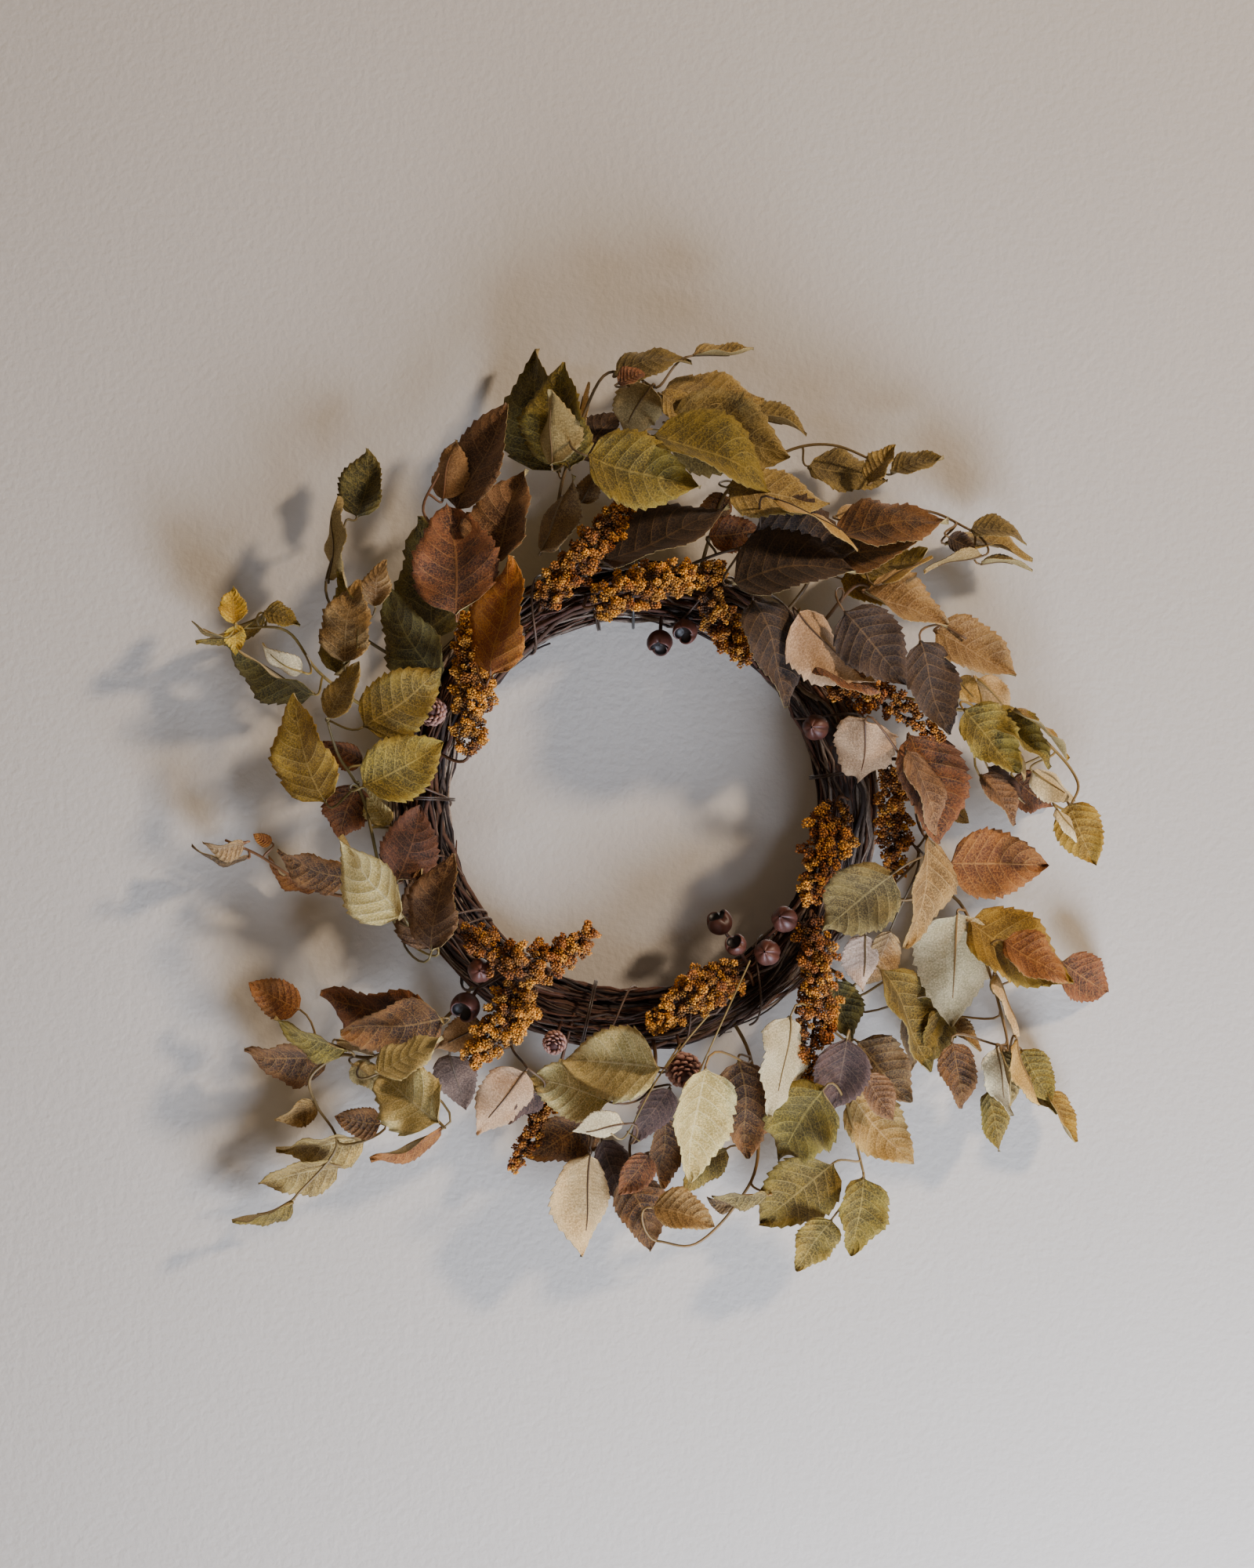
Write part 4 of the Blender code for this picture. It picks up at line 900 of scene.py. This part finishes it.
def build_pick(name, marks, radii, material):
    """The pick that holds a pod or a cone in the bundle."""
    stalk = Mesh()
    stalk.tube(smooth_line(marks, 8), radii, 6, linear("4A3024"))
    stalk.make(name + "_stalk", material, name)


def pod_profile(burst):
    """Outline of a pod from its foot over the lip: radius and height, as shares of its size."""
    outside = [(math.sin(a), -1.06 * math.cos(a))
               for a in np.linspace(0.0, 2.15 if burst else 3.05, 17)]
    lip_radius, lip_height = outside[-1]
    inside = [(lip_radius * 0.93, lip_height + 0.05), (lip_radius * 0.82, lip_height - 0.06)]
    floor = 0.1 if burst else 0.6
    inside += [(lip_radius * 0.8 * math.cos(a), floor + (lip_height - floor - 0.1)
                * (1.0 - math.sin(a))) for a in np.linspace(0.2, 1.5, 6)]
    return outside[1:], inside


def build_pod(name, where, radius_mm, burst, order, material, wire_material):
    """A round seed pod on its stalk: ribbed, with a closed crown or burst open in lobes."""
    dice = random.Random(order)
    radius = radius_mm * MM
    lean = 2 * dice.uniform(-0.3, 0.3), -0.8, 2 * dice.uniform(-0.3, 0.3)
    hub, middle, up, side, third = seat(name, where, radius, lean)
    outside, inside = pod_profile(burst)
    around, lobes = 36, 3 if burst else 5
    tone = np.array(linear("4E2A20")) * dice.uniform(0.8, 1.3)
    # Painted shade: the pod's inside is near black
    painted_shade_inside = np.array(linear("120908"))
    pod = Mesh()
    # The foot's point is darkened to 0.8 as painted shade
    points, tones = [middle - up * radius], [tone * 0.8]
    for k, (wide, high) in enumerate(outside + inside):
        for j in range(around):
            turn = 2 * math.pi * j / around
            split = abs(math.cos(lobes * turn / 2.0)) ** (0.35 if burst else 0.2)
            grip = max(0.0, high + (0.2 if burst else 0.6))
            bulge = 1.0 - (1.0 - split) * (0.5 if burst else 0.28) * grip
            tall = high * (1.0 - (1.0 - split) * (0.9 if burst else 0.1) * max(0.0, high + 0.2))
            points.append(middle + radius * (up * tall + bulge * wide
                                             * (side * math.cos(turn) + third * math.sin(turn))))
            # Painted light: the inside takes the painted shade; outside, the tone grows lighter
            # toward the crown as a painted highlight and darker in the grooves between the lobes
            # as painted shade
            tones.append(painted_shade_inside if k >= len(outside) + 1 else
                         tone * (1.0 + 0.35 * max(0.0, high) + 0.25 * (split - 0.7)))
    rings = len(outside) + len(inside)
    faces = fan(0, 1, around, False)
    for k in range(rings - 1):
        faces += band(1 + k * around, 1 + (k + 1) * around, around)
    faces += fan(len(points), 1 + (rings - 1) * around, around)
    points.append(middle + up * radius * inside[-1][1])
    tones.append(painted_shade_inside)
    pod.add(points, faces, np.array(tones))
    pod.make(name + "_shell", material, name)
    bend = hub + (middle - hub) * 0.5 + side * 1.5 * MM
    build_pick(name, [hub, bend, middle - up * radius * 0.97], np.linspace(1.1, 1.3, 17) * MM,
               wire_material)


def build_cone(name, where, radius_mm, order, material, wire_material):
    """A small cone: scales in a spiral round its core, each with a pale lip."""
    dice = random.Random(order)
    radius = radius_mm * MM
    hub, middle, up, side, third = seat(name, where, radius, (0.0, -1.5, 0.0))
    body, tip = np.array(linear("5E3128")), np.array(linear("B88C7C"))
    cone = Mesh()
    core = [middle + up * radius * h for h in np.linspace(-0.92, 0.85, 9)]
    cone.tube(core, radius * np.sin(np.linspace(0.5, 2.7, 9)) * 0.72, 12, body * 0.5)
    number = 64
    for k in range(number):
        h = -0.88 + 1.8 * (k + 0.5) / number
        turn = GOLDEN_ANGLE * k
        wide = math.sqrt(max(0.05, 1.0 - h * h)) * 0.72
        out = side * math.cos(turn) + third * math.sin(turn)
        level = unit(np.cross(up, out))
        root = middle + radius * (up * h + out * wide * 0.85)
        reach = unit(out + up * (0.35 + 0.9 * max(0.0, h)))
        size = radius * 0.30 * (1.15 - 0.45 * abs(h)) * dice.uniform(0.9, 1.1)
        scale_points, scale_tones = [], []
        for along, half, thick in ((0.0, 0.55, 0.22), (0.6, 0.75, 0.30), (1.1, 0.5, 0.34)):
            centre = root + reach * size * along * 1.25
            rise = unit(np.cross(level, reach)) * -thick * size
            for s, r in ((-1, -0.5), (1, -0.5), (1, 0.5), (-1, 0.5)):
                scale_points.append(centre + level * s * half * size + rise * r)
                scale_tones.append(blended(body, tip, 0.85 * min(1.0, along / 1.1) ** 2))
        faces = [(0, 1, 2, 3), (11, 10, 9, 8)]
        for ring in (0, 4):
            faces += [(ring + i, ring + 4 + i, ring + 4 + (i + 1) % 4, ring + (i + 1) % 4)
                      for i in range(4)]
        cone.add(scale_points, faces, np.array(scale_tones))
    cone.make(name + "_scales", material, name)
    build_pick(name, [hub, hub + (middle - hub) * 0.5, middle - up * radius * 0.9], 1.1 * MM,
               wire_material)


# ---------------------------------------------------------------- stage
def one_sided(material):
    """Let the material be seen from its front only, so that a back view looks through it."""
    tree = material.node_tree
    shader, output = tree.nodes["Principled BSDF"], tree.nodes["Material Output"]
    back = add(tree, "NewGeometry").outputs["Backfacing"]
    clear = add(tree, "BsdfTransparent").outputs[0]
    mix = add(tree, "MixShader", {0: back, 1: shader.outputs[0], 2: clear})
    tree.links.new(mix.outputs[0], output.inputs["Surface"])


def stage_sheet(name, corners, material):
    """A flat sheet of the room; light passes it, so that the wreath's back is lit as well."""
    mesh = bpy.data.meshes.new(name)
    mesh.from_pydata(corners, [], [(0, 1, 2, 3)])
    mesh.materials.append(material)
    sheet = bpy.data.objects.new(name, mesh)
    bpy.context.scene.collection.objects.link(sheet)
    sheet.visible_shadow = False


def area_light(name, where, aim, size, power, colour):
    light = bpy.data.lights.new(name, "AREA")
    light.shape = "DISK"
    light.size = size
    light.energy = power
    light.color = linear(colour)
    lamp = bpy.data.objects.new(name, light)
    lamp.location = where
    lamp.rotation_euler = (Vector(aim) - Vector(where)).to_track_quat("-Z", "Y").to_euler()
    bpy.context.scene.collection.objects.link(lamp)


def build_stage():
    """A painted wall behind, a pale floor below, soft daylight from the right, the camera."""
    own = bpy.context.scene.wreath_stage
    wall_y, wall_top, floor_z, half = 4.3 * MM, 3.0, -1.6, 4.0
    paint, shader = new_material("emulsion paint on plaster", Roughness=0.85, IOR=1.5)
    tree = paint.node_tree
    where = add(tree, "TexCoord").outputs["Object"]
    # Roller stipple, about 5 mm, over slow waves of the plaster
    stipple, clouds = (add(tree, "TexNoise", {"Vector": where, "Scale": scale, "Detail": 3.0})
                       .outputs["Fac"] for scale in (220.0, 3.0))
    bumped(tree, shader, stipple, 0.5, 0.0012)
    tint = scaled(tree, tuple(own.wall_colour), ramp(tree, clouds, 0.0, 1.0, 0.96, 1.03))
    tree.links.new(tint, shader.inputs["Base Color"])
    one_sided(paint)
    foot = [(-half, wall_y, floor_z), (half, wall_y, floor_z)]
    stage_sheet("wall", foot + [(half, wall_y, wall_top), (-half, wall_y, wall_top)], paint)
    stage_sheet("floor", [(-half, -5.0, floor_z), (half, -5.0, floor_z)] + foot[::-1], paint)
    aim = (HOOP.x, HOOP.y, HOOP.z)
    area_light("window_daylight", (2.9, -2.3, 1.5), aim, 0.42, own.key_power, "FFE8CE")
    area_light("window_floor_bounce", (0.6, -0.85, -1.45), (0.1, 0.0, -0.85), 0.9, 50.0, "D4E4FF")
    area_light("room_fill", (-1.3, -1.9, 1.1), aim, 1.8, 2.5, "FFCF9C")
    area_light("hall_behind", (0.9, 2.3, 0.8), aim, 1.5, 40.0, "F2EEE8")
    world = bpy.data.worlds.new("soft_room")
    world.use_nodes = True
    background = world.node_tree.nodes["Background"]
    background.inputs["Color"].default_value = (*linear("E4DCD2"), 1.0)
    background.inputs["Strength"].default_value = own.room_light
    bpy.context.scene.world = world
    camera = bpy.data.cameras.new("camera")
    camera.sensor_width = 36.0
    camera.lens = 36.0 * own.camera_distance / own.frame_height
    eye = bpy.data.objects.new("camera", camera)
    eye.location = (HOOP.x - 4.0 * MM, wall_y - 0.05 - own.camera_distance, HOOP.z + 14.0 * MM)
    eye.rotation_euler = (math.pi / 2, 0.0, 0.0)
    bpy.context.scene.collection.objects.link(eye)
    bpy.context.scene.camera = eye


# ---------------------------------------------------------------- settings, operators, panel
class WreathSettings(bpy.types.PropertyGroup):
    """Sizes and colours of the wreath's pieces."""

    cloth_thickness: FloatProperty(name="Cloth thickness", description="Thickness of a leaf",
                                   default=0.4 * MM, min=0.1 * MM, unit="LENGTH")
    teeth: IntProperty(name="Teeth", description="Teeth on each side of a leaf",
                       default=12, min=4, max=24)
    vein_pairs: IntProperty(name="Vein pairs", description="Side veins on each side of the rib",
                            default=8, min=3, max=14)
    twig_count: IntProperty(name="Twigs", description="Twigs in the hoop's bundle",
                            default=250, min=20, max=400)
    seed_gold: FloatVectorProperty(name="Gold seed", description="Colour of ripe seed",
                                   subtype="COLOR", default=linear("D4922A"))
    seed_rust: FloatVectorProperty(name="Rust seed", description="Colour of dark seed",
                                   subtype="COLOR", default=linear("925016"))


class StageSettings(bpy.types.PropertyGroup):
    """The room that the wreath is seen in."""

    wall_colour: FloatVectorProperty(name="Wall", description="Colour of the wall's paint",
                                     subtype="COLOR", default=linear("CAC2B7"))
    key_power: FloatProperty(name="Daylight", description="Power of the window's light",
                             default=140.0, min=0.0, unit="POWER")
    room_light: FloatProperty(name="Room light", description="Strength of the room's own light",
                              default=0.13, min=0.0)
    camera_distance: FloatProperty(name="Camera distance", description="Camera to the wreath",
                                   default=3.0, min=0.5, unit="LENGTH")
    frame_height: FloatProperty(name="Frame height", description="Height that the view takes in",
                                default=1.0, min=0.1, unit="LENGTH")


class WREATH_OT_hoop(bpy.types.Operator):
    """Wind the bundle of vine twigs"""
    bl_idname = "wreath.hoop"
    bl_label = "Vine hoop"

    def execute(self, context):
        build_twigs(twig_bark())
        return {"FINISHED"}


class WREATH_OT_wires(bpy.types.Operator):
    """Bind the bundle and hang it on its wire loop"""
    bl_idname = "wreath.wires"
    bl_label = "Binding wires and hanging loop"

    def execute(self, context):
        enamel = enamelled_wire()
        build_ties(enamel)
        build_hanging_loop(enamel)
        return {"FINISHED"}


class WREATH_OT_sprays(bpy.types.Operator):
    """Set the cloth leaf sprays round the hoop"""
    bl_idname = "wreath.sprays"
    bl_label = "Leaf sprays"

    def execute(self, context):
        cloth, plastic = leaf_cloth(context.scene.wreath.vein_pairs), stem_plastic()
        for order, spray in enumerate(SPRAYS):
            build_spray(*spray, order, cloth, plastic)
        build_straws(plastic)
        return {"FINISHED"}


class WREATH_OT_seeds(bpy.types.Operator):
    """Set the seed sprigs"""
    bl_idname = "wreath.seeds"
    bl_label = "Seed sprigs"

    def execute(self, context):
        foam, plastic = seed_foam(), stem_plastic()
        for order, sprig in enumerate(SPRIGS):
            build_sprig(f"seed_sprig_{order + 1}", *sprig, order, foam, plastic)
        return {"FINISHED"}


class WREATH_OT_nuts(bpy.types.Operator):
    """Set the round pods and the small cones"""
    bl_idname = "wreath.nuts"
    bl_label = "Pods and cones"

    def execute(self, context):
        lacquer, wood, plastic = pod_lacquer(), cone_scale(), stem_plastic()
        for order, pod in enumerate(PODS):
            build_pod(f"seed_pod_{order + 1}", *pod, order, lacquer, plastic)
        for order, cone in enumerate(CONES):
            build_cone(f"cone_{order + 1}", *cone, order, wood, plastic)
        return {"FINISHED"}


class WREATH_OT_stage(bpy.types.Operator):
    """Put up the wall, the floor, the lights and the camera"""
    bl_idname = "wreath.stage"
    bl_label = "Stage"

    def execute(self, context):
        build_stage()
        return {"FINISHED"}


class VIEW3D_PT_wreath(bpy.types.Panel):
    """The wreath's settings and builders."""
    bl_idname = "VIEW3D_PT_wreath"
    bl_label = "Harvest Door Wreath"
    bl_space_type = "VIEW_3D"
    bl_region_type = "UI"
    bl_category = "Wreath"

    def draw(self, context):
        layout = self.layout
        for group in (context.scene.wreath, context.scene.wreath_stage):
            box = layout.box()
            for key in group.__annotations__:
                box.prop(group, key)
        for operator in OPERATORS:
            layout.operator(operator.bl_idname)


OPERATORS = (WREATH_OT_hoop, WREATH_OT_wires, WREATH_OT_sprays, WREATH_OT_seeds, WREATH_OT_nuts,
             WREATH_OT_stage)
CLASSES = (WreathSettings, StageSettings, *OPERATORS, VIEW3D_PT_wreath)


def register():
    for cls in CLASSES:
        bpy.utils.register_class(cls)
    bpy.types.Scene.wreath = PointerProperty(type=WreathSettings)
    bpy.types.Scene.wreath_stage = PointerProperty(type=StageSettings)


def unregister():
    del bpy.types.Scene.wreath_stage
    del bpy.types.Scene.wreath
    for cls in reversed(CLASSES):
        bpy.utils.unregister_class(cls)


def main():
    register()
    bpy.ops.wreath.hoop()
    bpy.ops.wreath.wires()
    bpy.ops.wreath.sprays()
    bpy.ops.wreath.seeds()
    bpy.ops.wreath.nuts()
    bpy.ops.wreath.stage()


if __name__ == "__main__":
    main()
